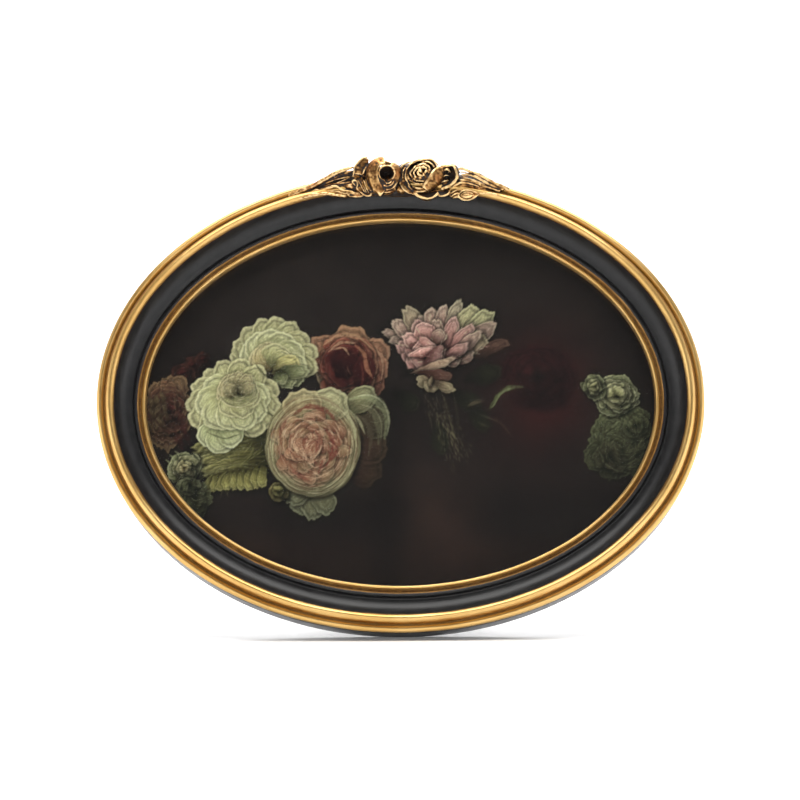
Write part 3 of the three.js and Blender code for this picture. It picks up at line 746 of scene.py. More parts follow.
def turned(name, profile, place, segs=48, axis="z"):
    """A turned piece from [radius, z], on the axis at both ends."""
    pr = np.asarray(profile, float)
    inner = pr[1:-1]
    t = 2 * np.pi * np.arange(segs) / segs
    v = np.stack([np.outer(np.cos(t), inner[:, 0]), np.outer(np.sin(t), inner[:, 0]), np.tile(inner[:, 1], (segs, 1))], -1).reshape(-1, 3)
    k = len(inner)
    f = [tuple(q) for q in grid_faces(segs, k, True, False)]
    a, b = len(v), len(v) + 1
    v = np.vstack([v, [[0, 0, pr[0, 1]], [0, 0, pr[-1, 1]]]])
    for i in range(segs):
        j = (i + 1) % segs
        f.append((a, i * k, j * k))
        f.append((b, j * k + k - 1, i * k + k - 1))
    if axis == "x":
        v = v[:, [2, 0, 1]]
    ob = make(name, place(v), f)
    outward(ob)
    by_angle(ob, 50)
    return ob


def arc(x0, z0, x1, z1, bulge, n=5):
    """Points from one to the other, bowed out sideways, ends left out."""
    out = []
    dx, dz = x1 - x0, z1 - z0
    L = math.hypot(dx, dz)
    for i in range(1, n):
        t = i / n
        b = bulge * 4 * t * (1 - t)
        out.append((x0 + dx * t - dz / L * b, z0 + dz * t + dx / L * b))
    return out


def rivet(name, top, tail, place):
    s = 1 if tail > top else -1
    head = [(2.3, top), (2.3, top - s * 0.18), (2.12, top - s * 0.42), (1.75, top - s * 0.63), (1.2, top - s * 0.79), (0.6, top - s * 0.87), (0.0, top - s * 0.9)]
    prof = [(0.0, tail), (0.8, tail), (1.1, tail - s * 0.3), (1.1, top), (2.2, top), *head]
    return turned(name, prof, place, 40)


BOARD_REAR, BOARD_FRONT = 0.4, 2.9
for name, x, y, top in [
    ("hinge_rivet_left", -6.5, PIN_Y + 7.0, -1.1), ("hinge_rivet_right", 6.5, PIN_Y + 7.0, -1.1),
    ("ribbon_rivet_board", 0.0, PIN_Y - 63.0, -0.7), ("hanger_rivet", 0.0, HANGER_Y - 6.6, -0.8),
]:
    o = rivet(name + "_shell", top, BOARD_FRONT - 0.2, lambda v, x=x, y=y: world(v + [x, y, 0]))
    settle(o, "frame", name, BRASS)
LEG_FRONT, LEG_REAR = -2.0, -4.5
for name, x in [("leg_rivet_left", -6.5), ("leg_rivet_right", 6.5)]:
    o = rivet(name + "_shell", LEG_REAR - 0.3, -0.7, lambda v, x=x: world(on_leg(v + [x, -7.0, 0])))
    settle(o, "leg", name, BRASS)
o = rivet("ribbon_rivet_leg_shell", LEG_FRONT + 1.1, LEG_REAR + 0.2, lambda v: world(on_leg(v + [0, -63.0, 0])))
settle(o, "leg", "ribbon_rivet_leg", BRASS)

# turn buttons, and their cross-recessed screws
for i, deg in enumerate((38, 142, 218, 322)):
    n = i + 1
    t = math.radians(deg)
    nx, ny = math.cos(t) / OUTER_A, math.sin(t) / OUTER_B
    l = math.hypot(nx, ny)
    nx, ny = nx / l, ny / l
    px, py = OUTER_A * math.cos(t) - nx * 6.3, OUTER_B * math.sin(t) - ny * 6.3
    inward = math.atan2(-ny, -nx)
    c, s = math.cos(inward), math.sin(inward)
    pts = [(3.6 * math.cos(a), 3.6 * math.sin(a)) for a in np.linspace(math.pi / 2, 3 * math.pi / 2, 25)]
    pts += [(11.5 - 2.6 + 0.6 + 2.6 * math.cos(a), 2.6 * math.sin(a)) for a in np.linspace(-math.pi / 2, math.pi / 2, 19)]

    def here(v, c=c, s=s, px=px, py=py):
        v = np.asarray(v, float)
        return world(np.stack([v[:, 0] * c - v[:, 1] * s + px, v[:, 0] * s + v[:, 1] * c + py, v[:, 2]], 1))
    o = plate(f"turn_button_{n}_plate", pts, [circle(0, 0, 1.6, 32)], -1.1, -0.3, 0.12, here)
    settle(o, f"button_{n}", f"turn_button_{n}", BRASS)
    top = -1.4
    prof = [(0, 6.0), (0.5, 5.7), (1.25, 4.2), (1.25, top + 0.02), (1.35, top), (2.75, top), (2.9, top - 0.12), (2.9, top - 0.5),
            (2.78, top - 0.8), (2.4, top - 1.08), (1.8, top - 1.28), (1.0, top - 1.38), (0, top - 1.4)]
    o = turned(f"button_screw_{n}_body", prof, here, 56)
    # the cross recess, cut into the head
    cut = bmesh.new()
    for ang in (0.3 + n, 0.3 + n + math.pi / 2):
        ca, sa = math.cos(ang), math.sin(ang)
        box = [(-1.5, -0.27, top - 1.7), (1.5, -0.27, top - 1.7), (1.5, 0.27, top - 1.7), (-1.5, 0.27, top - 1.7),
               (-0.7, -0.2, top - 0.45), (0.7, -0.2, top - 0.45), (0.7, 0.2, top - 0.45), (-0.7, 0.2, top - 0.45)]
        vs = [cut.verts.new(here(np.array([[x * ca - y * sa, x * sa + y * ca, z]]))[0]) for x, y, z in box]
        for f in ((0, 3, 2, 1), (4, 5, 6, 7), (0, 1, 5, 4), (1, 2, 6, 5), (2, 3, 7, 6), (3, 0, 4, 7)):
            cut.faces.new([vs[k] for k in f])
    bmesh.ops.recalc_face_normals(cut, faces=cut.faces)
    cm = bpy.data.meshes.new("cut")
    cut.to_mesh(cm)
    cut.free()
    co = bpy.data.objects.new("cut", cm)
    scene.collection.objects.link(co)
    b = o.modifiers.new("cross", "BOOLEAN")
    b.operation, b.object, b.solver, b.use_self = "DIFFERENCE", co, "EXACT", True
    me = bpy.data.meshes.new_from_object(o.evaluated_get(bpy.context.evaluated_depsgraph_get()))
    o.modifiers.clear()
    if len(me.vertices) > 50:
        o.data = me
    bpy.data.objects.remove(co)
    by_angle(o, 40)
    settle(o, "frame", f"button_screw_{n}", ZINC)


# hinge
def joined(name, obs):
    """Several closed shells as one piece."""
    bm = bmesh.new()
    for o in obs:
        bm.from_mesh(o.data)
    me = bpy.data.meshes.new(name)
    bm.to_mesh(me)
    bm.free()
    for o in obs:
        bpy.data.objects.remove(o)
    out = bpy.data.objects.new(name, me)
    scene.collection.objects.link(out)
    by_angle(out, 40)
    return out


def knuckle(x0, x1, place, r=1.7, bore=1.1, segs=40):
    e = 0.12
    sec = [(x0 + e, bore), (x0, bore + e), (x0, r - e), (x0 + e, r), (x1 - e, r), (x1, r - e), (x1, bore + e), (x1 - e, bore)]
    t = 2 * np.pi * np.arange(segs) / segs
    v = np.array([[x, q * math.cos(a), q * math.sin(a)] for a in t for x, q in sec])
    o = make("knuckle", place(v), grid_faces(segs, len(sec), True, True))
    return outward(o)


def leaf(name, up, holes_y, place, z0, z1, ends):
    s = 1 if up else -1
    m = 3.9 + 0.3
    if up:
        raw = [(-10, 0.9), (-m, 0.9), (-m, 2.0), (m, 2.0), (m, 0.9), (10, 0.9), (11, 3), (11, 11.5), (-11, 11.5), (-11, 3)]
        rr = [0, 0, 0.3, 0.3, 0, 0, 0.8, 2.2, 2.2, 0.8]
    else:
        raw = [(3.9, -0.9), (3.9, -2.0), (11, -2.0), (11, -11.5), (-11, -11.5), (-11, -2.0), (-3.9, -2.0), (-3.9, -0.9)]
        rr = [0, 0.3, 0.8, 2.2, 2.2, 0.8, 0.3, 0]
    p = plate(name + "_flat", rounded(raw, rr), [circle(x, s * 7.0, 1.45, 28) for x in (-6.5, 6.5)], z0, z1, 0.12, place)
    obs = [p]
    for x0, x1 in ends:
        obs.append(knuckle(x0, x1, place))
        a = np.linspace(0, 1, 7)
        # the wrap that carries the leaf's metal into its knuckle
        o1, i1 = (z1, z0) if up else (z0, z1)
        sec = [(0.0, o1), (s * 1.6, o1), (s * 1.6, i1), (s * 0.9, i1), (0.0, o1 * 0.72)]
        v = np.array([[x, y, z] for x in (x0 + 0.02, x1 - 0.02) for y, z in sec])
        k = len(sec)
        f = [tuple(range(k))[::-1], tuple(range(k, 2 * k))] + [(i, (i + 1) % k, k + (i + 1) % k, k + i) for i in range(k)]
        obs.append(outward(make("wrap", place(v), f, False)))
    return joined(name, obs)


board_place = lambda v: world(np.asarray(v, float) + [0, PIN_Y, PIN_Z])
leg_place = lambda v: world(on_leg(v))
o = leaf("hinge_leaf_board_plate", True, 7, board_place, 0.9, 1.7, [(-10, -4.2), (4.2, 10)])
settle(o, "frame", "hinge_leaf_board", BRASS)
o = leaf("hinge_leaf_leg_plate", False, 7, leg_place, -1.7, -0.9, [(-3.9, 3.9)])
settle(o, "leg", "hinge_leaf_leg", BRASS)
e = 10.3
prof = [(0, -e - 0.9), (0.7, -e - 0.86), (1.15, -e - 0.65), (1.38, -e - 0.35), (1.38, -e), (0.8, -e), (0.8, e), (1.38, e), (1.38, e + 0.35),
        (1.15, e + 0.65), (0.7, e + 0.86), (0, e + 0.9)]
o = turned("hinge_pin_rod", prof, board_place, 36, "x")
settle(o, "frame", "hinge_pin", ZINC)

# back board and leg: velvet over board, with eased edges
o = plate("velvet_back", oval(11.9, 240), [circle(x, y, 1.45, 24) for x, y in
          ((-6.5, PIN_Y + 7), (6.5, PIN_Y + 7), (0, PIN_Y - 63), (0, HANGER_Y - 6.6))], BOARD_REAR, BOARD_FRONT, 0.45, world)
settle(o, "frame", "back_board", VELVET)


def leg():
    pinh = -( -OUTER_B * math.cos(math.pi / 64) * CL + 1.2 * SL) + PIN_Y * CL + PIN_Z * SL
    phi = OPEN - LEAN
    foot = lambda z: -(pinh - z * math.sin(phi)) / math.cos(phi)
    f = foot(-3.25)
    raw = [(-9.5, 1.0), (9.5, 1.0), (11.7, 0.1), (12.5, -2.2), (11.9, -22), (12.7, -50), (15.9, -92), (16.5, -101), (15.1, f),
           (-15.1, f), (-16.5, -101), (-15.9, -92), (-12.7, -50), (-11.9, -22), (-12.5, -2.2), (-11.7, 0.1)]
    rr = [1.5, 1.5, 1.5, 3, 14, 20, 12, 5, 1.2, 1.2, 5, 12, 20, 14, 3, 1.5]
    o = plate("velvet_leg", rounded(raw, rr, 5), [circle(x, y, 1.45, 24) for x, y in ((-6.5, -7), (6.5, -7), (0, -63))],
              LEG_REAR, LEG_FRONT, 0.4, lambda v: np.asarray(v, float))
    co = np.array([v.co for v in o.data.vertices], float)
    k = np.clip((-co[:, 1] - 95) / 8, 0, 1)
    co[:, 1] += k * (np.array([foot(z) for z in co[:, 2]]) - f)
    o.data.vertices.foreach_set("co", world(on_leg(co)).astype(np.float32).ravel())
    o.data.update()
    return outward(o)


settle(leg(), "leg", "easel_leg", VELVET)


# stay ribbon: a woven strap along the line from board to leg
def ribbon():
    zb, zl = BOARD_REAR - PIN_Z - 0.3 - 0.25, LEG_FRONT + 0.3 + 0.25
    c, s = math.cos(OPEN), math.sin(OPEN)
    ol = lambda y, z: (y * c - z * s, y * s + z * c)
    line = [(-67.0, zb), (-62.0, zb), (-58.6, zb), (-57.6, zb - 0.25), (-57.15, zb - 1.1)]
    a = np.array(line[-1])
    b = np.array(ol(-57.15, zl + 1.1))
    for t in np.linspace(0, 1, 9)[1:-1]:
        sag = -0.5 * 4 * t * (1 - t)
        line.append(tuple(a * (1 - t) + b * t + np.array([sag, 0])))
    line += [tuple(b), ol(-57.6, zl + 0.25), ol(-58.6, zl), ol(-62.0, zl), ol(-67.0, zl)]
    P = catmull(line, 6)
    P = np.vstack([P, line[-1]])
    d = np.gradient(P, axis=0)
    nrm = np.stack([-d[:, 1], d[:, 0]], 1)
    nrm /= np.linalg.norm(nrm, axis=1)[:, None]
    L = np.concatenate([[0], np.cumsum(np.linalg.norm(np.diff(P, axis=0), axis=1))])
    half, th = 4.95, 0.19
    us = np.concatenate([[-half], np.linspace(-half + 0.12, half - 0.12, 13), [half]])
    edge = np.concatenate([[0.55], np.ones(13), [0.55]])
    front = [[(u, P[i, 0] + nrm[i, 0] * th * e, P[i, 1] + nrm[i, 1] * th * e) for u, e in zip(us, edge)] for i in range(len(P))]
    back = [[(u, P[i, 0] - nrm[i, 0] * th * e, P[i, 1] - nrm[i, 1] * th * e) for u, e in zip(us[::-1], edge[::-1])] for i in range(len(P))]
    loop = np.concatenate([np.array(front), np.array(back)], 1)
    k = loop.shape[1]
    v = loop.reshape(-1, 3)
    f = [tuple(q) for q in grid_faces(len(P), k, False, True)]
    f += [tuple(range(k))[::-1], tuple(range((len(P) - 1) * k, len(P) * k))]
    o = make("ribbon", board_place(v), f)
    outward(o)
    by_angle(o, 60)
    give(o, "strapco", np.stack([v[:, 0], np.repeat(L, k), np.zeros(len(v))], 1), "FLOAT_VECTOR")
    return o, float(L[-1])


rib, rib_long = ribbon()
rib.data.materials.append(RIBBON)
end = world(on_leg([[0, -58.5, LEG_FRONT + 0.55]]))[0]
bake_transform(rib)
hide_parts("stay_ribbon")

# wall hanger
strap_pts = rounded([(-4, 0.2), (-4, -11), (4, -11), (4, 0.2)], [0, 2.6, 2.6, 0])
hp = lambda v: world(np.asarray(v, float) + [0, HANGER_Y, 0])
p = plate("strap_flat", strap_pts, [circle(0, -6.6, 1.45, 28)], -0.5, 0.1, 0.1, hp)
kn = knuckle(-4, 4, lambda v: world(np.asarray(v, float) + [0, HANGER_Y, HANGER_Z]), 1.75, 1.15)
o = joined("hanger_strap_plate", [p, kn])
settle(o, "frame", "hanger_strap", BRASS)


def wire_ring():
    pts = [(-5.4, 0), (-2.7, 0), (0, 0), (2.7, 0), (5.4, 0), (6.9, -0.7), (7.3, -2.4), (6.6, -5.4), (4.9, -8.4), (2.6, -10.3), (0, -11.0),
           (-2.6, -10.3), (-4.9, -8.4), (-6.6, -5.4), (-7.3, -2.4), (-6.9, -0.7)]
    P = np.array(pts, float)
    n = len(P)
    Q = []
    for i in range(n):
        p0, p1, p2, p3 = P[i - 1], P[i], P[(i + 1) % n], P[(i + 2) % n]
        Q.append(catmull(np.array([p0, p1, p2, p3]), 7)[7:14])
    Q = np.vstack(Q)
    d = np.roll(Q, -1, 0) - np.roll(Q, 1, 0)
    nr = np.stack([-d[:, 1], d[:, 0]], 1)
    nr /= np.linalg.norm(nr, axis=1)[:, None]
    t = 2 * np.pi * np.arange(16) / 16
    v = np.array([[Q[i, 0] + nr[i, 0] * 0.8 * math.cos(a), Q[i, 1] + nr[i, 1] * 0.8 * math.cos(a), 0.8 * math.sin(a)] for i in range(len(Q)) for a in t])
    o = make("wire_ring", world(on_ring(v)), grid_faces(len(Q), 16, True, True))
    return outward(o)


settle(wire_ring(), "ring", "hanger_ring", BRASS)

# ------------------------------------------------------------------ the crest: two roses, leaves and a bud
# Lines are in mm as the crest is looked at: right, up across the view, and out of the picture.
VIEW = math.radians(11.6)
# cords: a centre line [right, up, out] in mm and its radii
CORDS = [
    ("long_leaf_rim", [(-37.91, 71.09, 14.2), (-33.05, 72.94, 15.2), (-28.88, 74.72, 16.0), (-25.4, 76.64, 17.0), (-22.39, 78.31, 17.9), (-19.61, 79.4, 18.3), (-17.3, 80.12, 18.3), (-15.86, 80.51, 17.8)], [0.7, 0.85, 0.85, 0.8, 0.78, 0.75, 0.62, 0.4]),
    ("leaf_vein_1", [(-28.88, 73.15, 15.6), (-25.87, 74.03, 16.2), (-22.86, 74.86, 16.6), (-19.61, 75.37, 16.8), (-15.68, 75.56, 16.9)], [0.2, 0.3, 0.3, 0.28, 0.2]),
    ("leaf_vein_2", [(-26.56, 74.56, 16.0), (-23.78, 75.72, 16.6), (-20.77, 76.64, 16.9), (-17.76, 77.22, 17.0), (-15.45, 77.45, 17.0)], [0.18, 0.26, 0.28, 0.26, 0.2]),
    ("leaf_vein_3", [(-23.32, 76.41, 16.7), (-21.0, 77.57, 17.0), (-18.69, 78.38, 17.2), (-16.49, 78.8, 17.2)], [0.15, 0.22, 0.24, 0.2]),
    ("leaf_lower_rim", [(-32.35, 72.08, 15.0), (-28.88, 72.78, 15.8), (-26.1, 73.15, 16.4), (-24.25, 73.47, 16.9), (-22.63, 73.91, 17.4), (-21.24, 73.75, 17.5), (-19.85, 72.87, 17.4), (-18.23, 72.31, 17.3), (-15.91, 72.01, 17.2)], [0.25, 0.36, 0.4, 0.42, 0.44, 0.42, 0.4, 0.36, 0.3]),
    ("scroll_upper", [(-24.71, 72.27, 16.4), (-22.86, 72.36, 16.9), (-21.0, 72.08, 17.0), (-19.15, 71.67, 17.2), (-17.3, 71.53, 17.3), (-15.68, 71.43, 17.0), (-13.59, 71.09, 16.8)], [0.3, 0.3, 0.3, 0.3, 0.34, 0.6, 0.55]),
    ("scroll_lower", [(-37.21, 68.84, 15.6), (-33.05, 70.28, 16.2), (-29.34, 71.09, 16.6), (-26.56, 71.43, 16.8), (-24.25, 71.32, 17.2), (-22.39, 71.02, 17.4), (-20.54, 70.69, 17.4), (-18.8, 70.41, 17.0)], [0.6, 0.7, 0.75, 0.7, 0.55, 0.48, 0.46, 0.34]),
    ("scroll_end", [(-17.3, 70.69, 16.6), (-15.45, 70.6, 16.8), (-13.59, 70.65, 16.6), (-12.44, 70.88, 16.2)], [0.5, 0.62, 0.6, 0.4]),
    ("scroll_bead", [(-17.62, 70.92, 17.4), (-17.3, 71.04, 17.4)], [0.42, 0.42]),
    ("hook", [(-14.87, 74.03, 17.6), (-15.63, 74.77, 18.2), (-16.14, 75.53, 18.5), (-15.35, 75.86, 18.6), (-14.64, 75.42, 18.5), (-14.38, 74.49, 18.4), (-14.57, 73.56, 18.3), (-13.94, 72.55, 18.2), (-13.01, 71.53, 18.0), (-11.97, 70.79, 17.9), (-10.81, 70.48, 17.9), (-9.8, 70.79, 18.0), (-9.56, 71.43, 18.0)], [0.24, 0.3, 0.32, 0.34, 0.34, 0.34, 0.33, 0.33, 0.33, 0.33, 0.33, 0.3, 0.24]),
    ("tip_rim", [(-15.63, 78.89, 17.8), (-15.35, 80.42, 18.6), (-13.94, 82.27, 18.9), (-12.67, 83.52, 18.7), (-11.74, 84.03, 18.2), (-11.05, 83.43, 17.6)], [0.3, 0.36, 0.4, 0.4, 0.36, 0.28]),
    ("side_arc", [(-12.39, 78.27, 18.0), (-11.93, 79.54, 18.6), (-11.09, 80.56, 18.7), (-9.93, 81.3, 18.4)], [0.22, 0.28, 0.28, 0.22]),
    ("fold_1", [(-13.01, 76.99, 16.8), (-12.55, 75.14, 17.1), (-11.97, 73.29, 17.1), (-11.51, 71.9, 16.8)], [0.2, 0.28, 0.28, 0.2]),
    ("fold_2", [(-11.51, 77.69, 17.0), (-11.32, 75.83, 17.3), (-10.81, 73.98, 17.4), (-9.89, 72.36, 17.0)], [0.22, 0.3, 0.3, 0.2]),
    ("hollow_rim", [(-6.6, 76.53, 20.2), (-7.11, 78.27, 20.9), (-6.6, 79.72, 21.2), (-5.26, 80.63, 21.3), (-3.52, 80.7, 21.1), (-2.06, 79.82, 20.7), (-1.6, 78.27, 20.2), (-2.13, 76.64, 19.7), (-3.17, 75.6, 19.3)], [0.3, 0.34, 0.36, 0.36, 0.34, 0.32, 0.3, 0.28, 0.22]),
    ("stripe_1", [(-5.72, 73.29, 19.0), (-4.79, 74.1, 19.4), (-3.52, 75.19, 19.2)], [0.26, 0.34, 0.24]),
    ("stripe_2", [(-5.14, 72.24, 18.2), (-4.1, 72.78, 18.6), (-2.83, 73.98, 18.7), (-2.25, 75.37, 18.6)], [0.24, 0.32, 0.32, 0.22]),
    ("stripe_3", [(-3.4, 72.08, 17.8), (-2.13, 73.05, 18.2), (-1.27, 74.68, 18.4), (-0.9, 76.76, 18.6)], [0.24, 0.32, 0.32, 0.24]),
    ("crescent_eye_1", [(-9.43, 75.72, 19.3), (-9.66, 76.88, 19.8), (-8.85, 77.8, 20.2)], [0.14, 0.2, 0.14]),
    ("cup_curl", [(15.18, 78.43, 17.8), (15.46, 79.21, 18.6), (16.29, 79.59, 18.9), (17.08, 79.21, 18.8), (16.8, 78.43, 18.0)], [0.22, 0.3, 0.32, 0.3, 0.22]),
    ("bud_rim", [(20.07, 70.79, 17.4), (20.53, 69.77, 17.7), (21.92, 69.07, 17.8), (23.66, 69.03, 17.9), (25.28, 69.67, 17.8), (26.81, 70.88, 17.4), (25.28, 71.85, 17.6), (23.43, 72.31, 17.6), (21.34, 72.08, 17.5), (20.07, 70.79, 17.4)], [0.3, 0.34, 0.36, 0.36, 0.34, 0.3, 0.32, 0.32, 0.32, 0.3]),
    ("bud_inner", [(20.99, 70.6, 17.9), (21.92, 69.97, 18.2), (23.66, 69.91, 18.3), (25.23, 70.69, 18.0), (24.12, 71.39, 18.1), (22.5, 71.57, 18.1), (20.99, 70.6, 17.9)], [0.24, 0.26, 0.28, 0.24, 0.24, 0.24, 0.24]),
    ("bud_slit", [(21.99, 70.74, 18.3), (23.19, 70.65, 18.4), (24.31, 70.81, 18.2)], [0.18, 0.2, 0.16]),
    ("fan_1", [(17.17, 70.79, 16.8), (18.45, 71.85, 17.3), (19.84, 72.36, 17.4), (21.46, 72.45, 17.2), (23.19, 72.59, 16.9)], [0.24, 0.32, 0.32, 0.3, 0.2]),
    ("fan_2", [(17.52, 70.09, 16.8), (18.68, 70.92, 17.4), (20.07, 71.43, 17.4)], [0.24, 0.32, 0.26]),
    ("fan_3", [(18.33, 69.67, 16.6), (19.3, 70.04, 17.2), (20.3, 69.91, 17.2)], [0.22, 0.3, 0.26]),
    ("bud_stem", [(26.67, 70.85, 17.2), (28.29, 71.2, 17.0), (30.26, 71.25, 16.7), (32.92, 70.79, 16.6), (36.16, 69.77, 16.2)], [0.3, 0.38, 0.45, 0.55, 0.6]),
    ("right_leaf_rim", [(19.84, 78.43, 17.8), (20.23, 79.49, 18.5), (21.23, 79.86, 18.7), (22.96, 79.31, 18.6), (24.81, 78.61, 18.4), (26.67, 78.01, 18.2), (28.4, 77.04, 17.9), (30.26, 76.02, 17.5), (32.23, 74.91, 17.0), (34.31, 73.93, 16.4), (37.55, 72.55, 15.0)], [0.3, 0.45, 0.55, 0.58, 0.5, 0.42, 0.42, 0.5, 0.6, 0.75, 0.75]),
    ("right_leaf_top", [(25.51, 78.33, 17.6), (27.13, 78.1, 17.6), (28.98, 77.18, 17.3), (30.84, 76.07, 17.0), (32.46, 75.37, 16.6)], [0.25, 0.34, 0.36, 0.34, 0.25]),
    ("right_ridge_2", [(21.23, 77.64, 17.6), (22.73, 77.83, 18.0), (24.35, 77.64, 18.1), (25.97, 77.04, 18.0), (27.71, 76.07, 17.8), (29.33, 75.14, 17.5), (31.18, 74.26, 17.1), (33.04, 73.56, 16.7), (35.47, 72.71, 16.0)], [0.3, 0.42, 0.5, 0.48, 0.42, 0.4, 0.4, 0.45, 0.5]),
    ("right_ridge_3", [(20.88, 75.93, 17.2), (22.73, 75.83, 17.4), (24.58, 75.37, 17.4), (26.9, 74.63, 17.2), (29.21, 73.8, 16.9), (31.53, 73.15, 16.6), (34.31, 72.13, 16.2)], [0.22, 0.28, 0.3, 0.3, 0.32, 0.36, 0.45]),
    ("right_edge", [(16.52, 72.41, 16.6), (18.21, 73.63, 17.0), (19.84, 74.56, 17.2), (21.46, 75.0, 17.1), (24.12, 74.21, 16.6), (26.9, 73.15, 16.4), (29.68, 72.36, 16.2)], [0.3, 0.36, 0.36, 0.3, 0.24, 0.24, 0.24]),
    ("rose_fold", [(13.37, 80.47, 19.4), (12.19, 79.54, 20.2), (10.8, 77.45, 20.6), (9.41, 75.42, 20.2), (8.0, 73.56, 19.4)], [0.3, 0.38, 0.42, 0.4, 0.3]),
    ("rl_arc_a", [(-5.93, 75.19, 19.1), (-5.12, 73.99, 19.6), (-3.7, 73.83, 19.6), (-2.33, 74.76, 19.6), (-1.67, 76.5, 19.1)], [0.14, 0.26, 0.26, 0.26, 0.14]),
    ("rl_arc_b", [(-5.77, 73.77, 18.4), (-4.46, 72.74, 18.9), (-2.6, 73.06, 18.9), (-1.13, 74.65, 18.9), (-0.47, 76.83, 18.4)], [0.15, 0.28, 0.28, 0.28, 0.15]),
    ("rl_arc_c", [(-5.01, 75.52, 19.4), (-4.24, 74.7, 19.9), (-3.15, 74.92, 19.9), (-2.49, 75.96, 19.4)], [0.12, 0.22, 0.22, 0.12]),
    ("rl_arc_d", [(-6.75, 73.34, 17.7), (-5.88, 72.03, 18.2), (-4.24, 71.75, 18.2), (-2.06, 72.19, 17.7)], [0.17, 0.3, 0.3, 0.17]),
    ("rl_arc_e", [(-3.15, 80.44, 18.7), (-1.73, 79.89, 19.2), (-0.64, 78.8, 19.2), (-0.2, 77.38, 18.7)], [0.17, 0.3, 0.3, 0.17]),
    ("rl_arc_f", [(-2.49, 79.56, 19.1), (-1.4, 78.47, 19.6), (-1.18, 76.94, 19.6), (-1.84, 75.3, 19.1)], [0.13, 0.24, 0.24, 0.13]),
    ("rl_arc_g", [(-7.3, 81.53, 19.4), (-5.66, 82.24, 19.9), (-3.91, 82.07, 19.9), (-2.93, 81.42, 19.4)], [0.17, 0.3, 0.3, 0.17]),
    ("rr_cheek_a", [(0.51, 74.98, 18.0), (-0.09, 77.38, 18.5), (0.45, 79.89, 18.5), (2.04, 81.69, 18.5), (4.5, 82.4, 18.0)], [0.2, 0.36, 0.36, 0.36, 0.2]),
    ("rr_cheek_b", [(3.46, 74.21, 18.8), (2.15, 76.5, 19.3), (2.42, 79.23, 19.3), (4.06, 81.42, 19.3), (6.13, 82.29, 18.8)], [0.18, 0.32, 0.32, 0.32, 0.18]),
    ("rr_cheek_c", [(1.22, 76.72, 18.6), (1.22, 78.8, 19.1), (2.09, 80.44, 18.6)], [0.12, 0.22, 0.12]),
    ("rr_top_a", [(8.54, 82.62, 18.5), (10.39, 83.06, 19.0), (12.03, 82.02, 19.0), (12.96, 80.22, 18.5)], [0.2, 0.36, 0.36, 0.2]),
    ("rr_top_b", [(7.88, 81.86, 19.5), (9.79, 82.13, 20.0), (11.49, 80.87, 20.0), (12.14, 79.13, 19.5)], [0.17, 0.3, 0.3, 0.17]),
    ("rr_top_c", [(11.54, 82.73, 17.5), (12.91, 81.53, 18.0), (13.62, 79.67, 17.5)], [0.15, 0.28, 0.15]),
    ("rr_top_d", [(9.41, 83.38, 17.1), (10.72, 83.49, 17.6), (11.59, 82.95, 17.1)], [0.19, 0.34, 0.19]),
    ("rr_low_a", [(9.52, 73.88, 19.2), (11.49, 75.3, 19.7), (12.69, 77.27, 19.7), (13.23, 79.13, 19.2)], [0.17, 0.3, 0.3, 0.17]),
    ("rr_low_b", [(8.32, 73.23, 18.5), (11.16, 74.16, 19.0), (13.18, 76.39, 19.0), (13.89, 78.36, 18.5)], [0.15, 0.28, 0.28, 0.15]),
    ("rr_low_c", [(4.44, 73.66, 18.5), (6.35, 72.9, 19.0), (8.54, 73.12, 18.5)], [0.17, 0.3, 0.17]),
    ("rr_low_d", [(3.84, 72.79, 17.7), (6.13, 71.92, 18.2), (8.54, 72.14, 18.2), (10.39, 73.01, 17.7)], [0.17, 0.3, 0.3, 0.17]),
    ("tip_rim", [(-15.93, 77.16, 18.2), (-15.55, 78.8, 18.7), (-15.16, 80.65, 18.7), (-13.69, 82.62, 18.7), (-11.67, 84.04, 18.2)], [0.17, 0.3, 0.3, 0.3, 0.17]),
    ("tip_fold", [(-13.03, 78.36, 17.4), (-12.0, 79.78, 17.9), (-11.07, 81.2, 17.9), (-10.69, 83.17, 17.4)], [0.14, 0.26, 0.26, 0.14]),
    ("hook_in_a", [(-14.29, 76.07, 17.7), (-13.42, 74.54, 18.2), (-12.65, 73.01, 18.2), (-11.78, 71.59, 17.7)], [0.12, 0.22, 0.22, 0.12]),
    ("hook_in_b", [(-12.65, 76.72, 17.5), (-11.89, 75.08, 18.0), (-11.34, 73.34, 18.0), (-10.58, 71.7, 17.5)], [0.13, 0.24, 0.24, 0.13]),
    ("hook_in_c", [(-11.34, 77.27, 17.2), (-10.69, 75.74, 17.7), (-10.25, 73.99, 17.7), (-9.59, 72.14, 17.2)], [0.14, 0.26, 0.26, 0.14]),
    ("cup_in_a", [(14.82, 78.8, 18.7), (15.91, 79.34, 19.2), (16.95, 79.13, 19.2), (17.6, 78.25, 18.7)], [0.13, 0.24, 0.24, 0.13]),
    ("cup_in_b", [(14.65, 76.72, 18.1), (15.91, 77.49, 18.6), (17.16, 77.27, 18.1)], [0.13, 0.24, 0.13]),
    ("cup_in_c", [(14.11, 75.08, 17.7), (15.53, 75.52, 18.2), (16.95, 75.74, 17.7)], [0.13, 0.24, 0.13]),
    ("rv_a", [(20.33, 78.8, 16.9), (22.73, 78.47, 17.4), (25.47, 77.38, 17.4), (28.47, 75.74, 17.4), (31.75, 73.88, 16.9)], [0.15, 0.28, 0.28, 0.28, 0.15]),
    ("rv_b", [(20.55, 76.72, 17.0), (23.28, 76.39, 17.5), (26.56, 75.3, 17.5), (29.83, 73.99, 17.0)], [0.14, 0.26, 0.26, 0.14]),
    ("rv_c", [(21.1, 75.08, 17.1), (23.83, 74.65, 17.6), (27.1, 73.66, 17.1)], [0.13, 0.24, 0.13]),
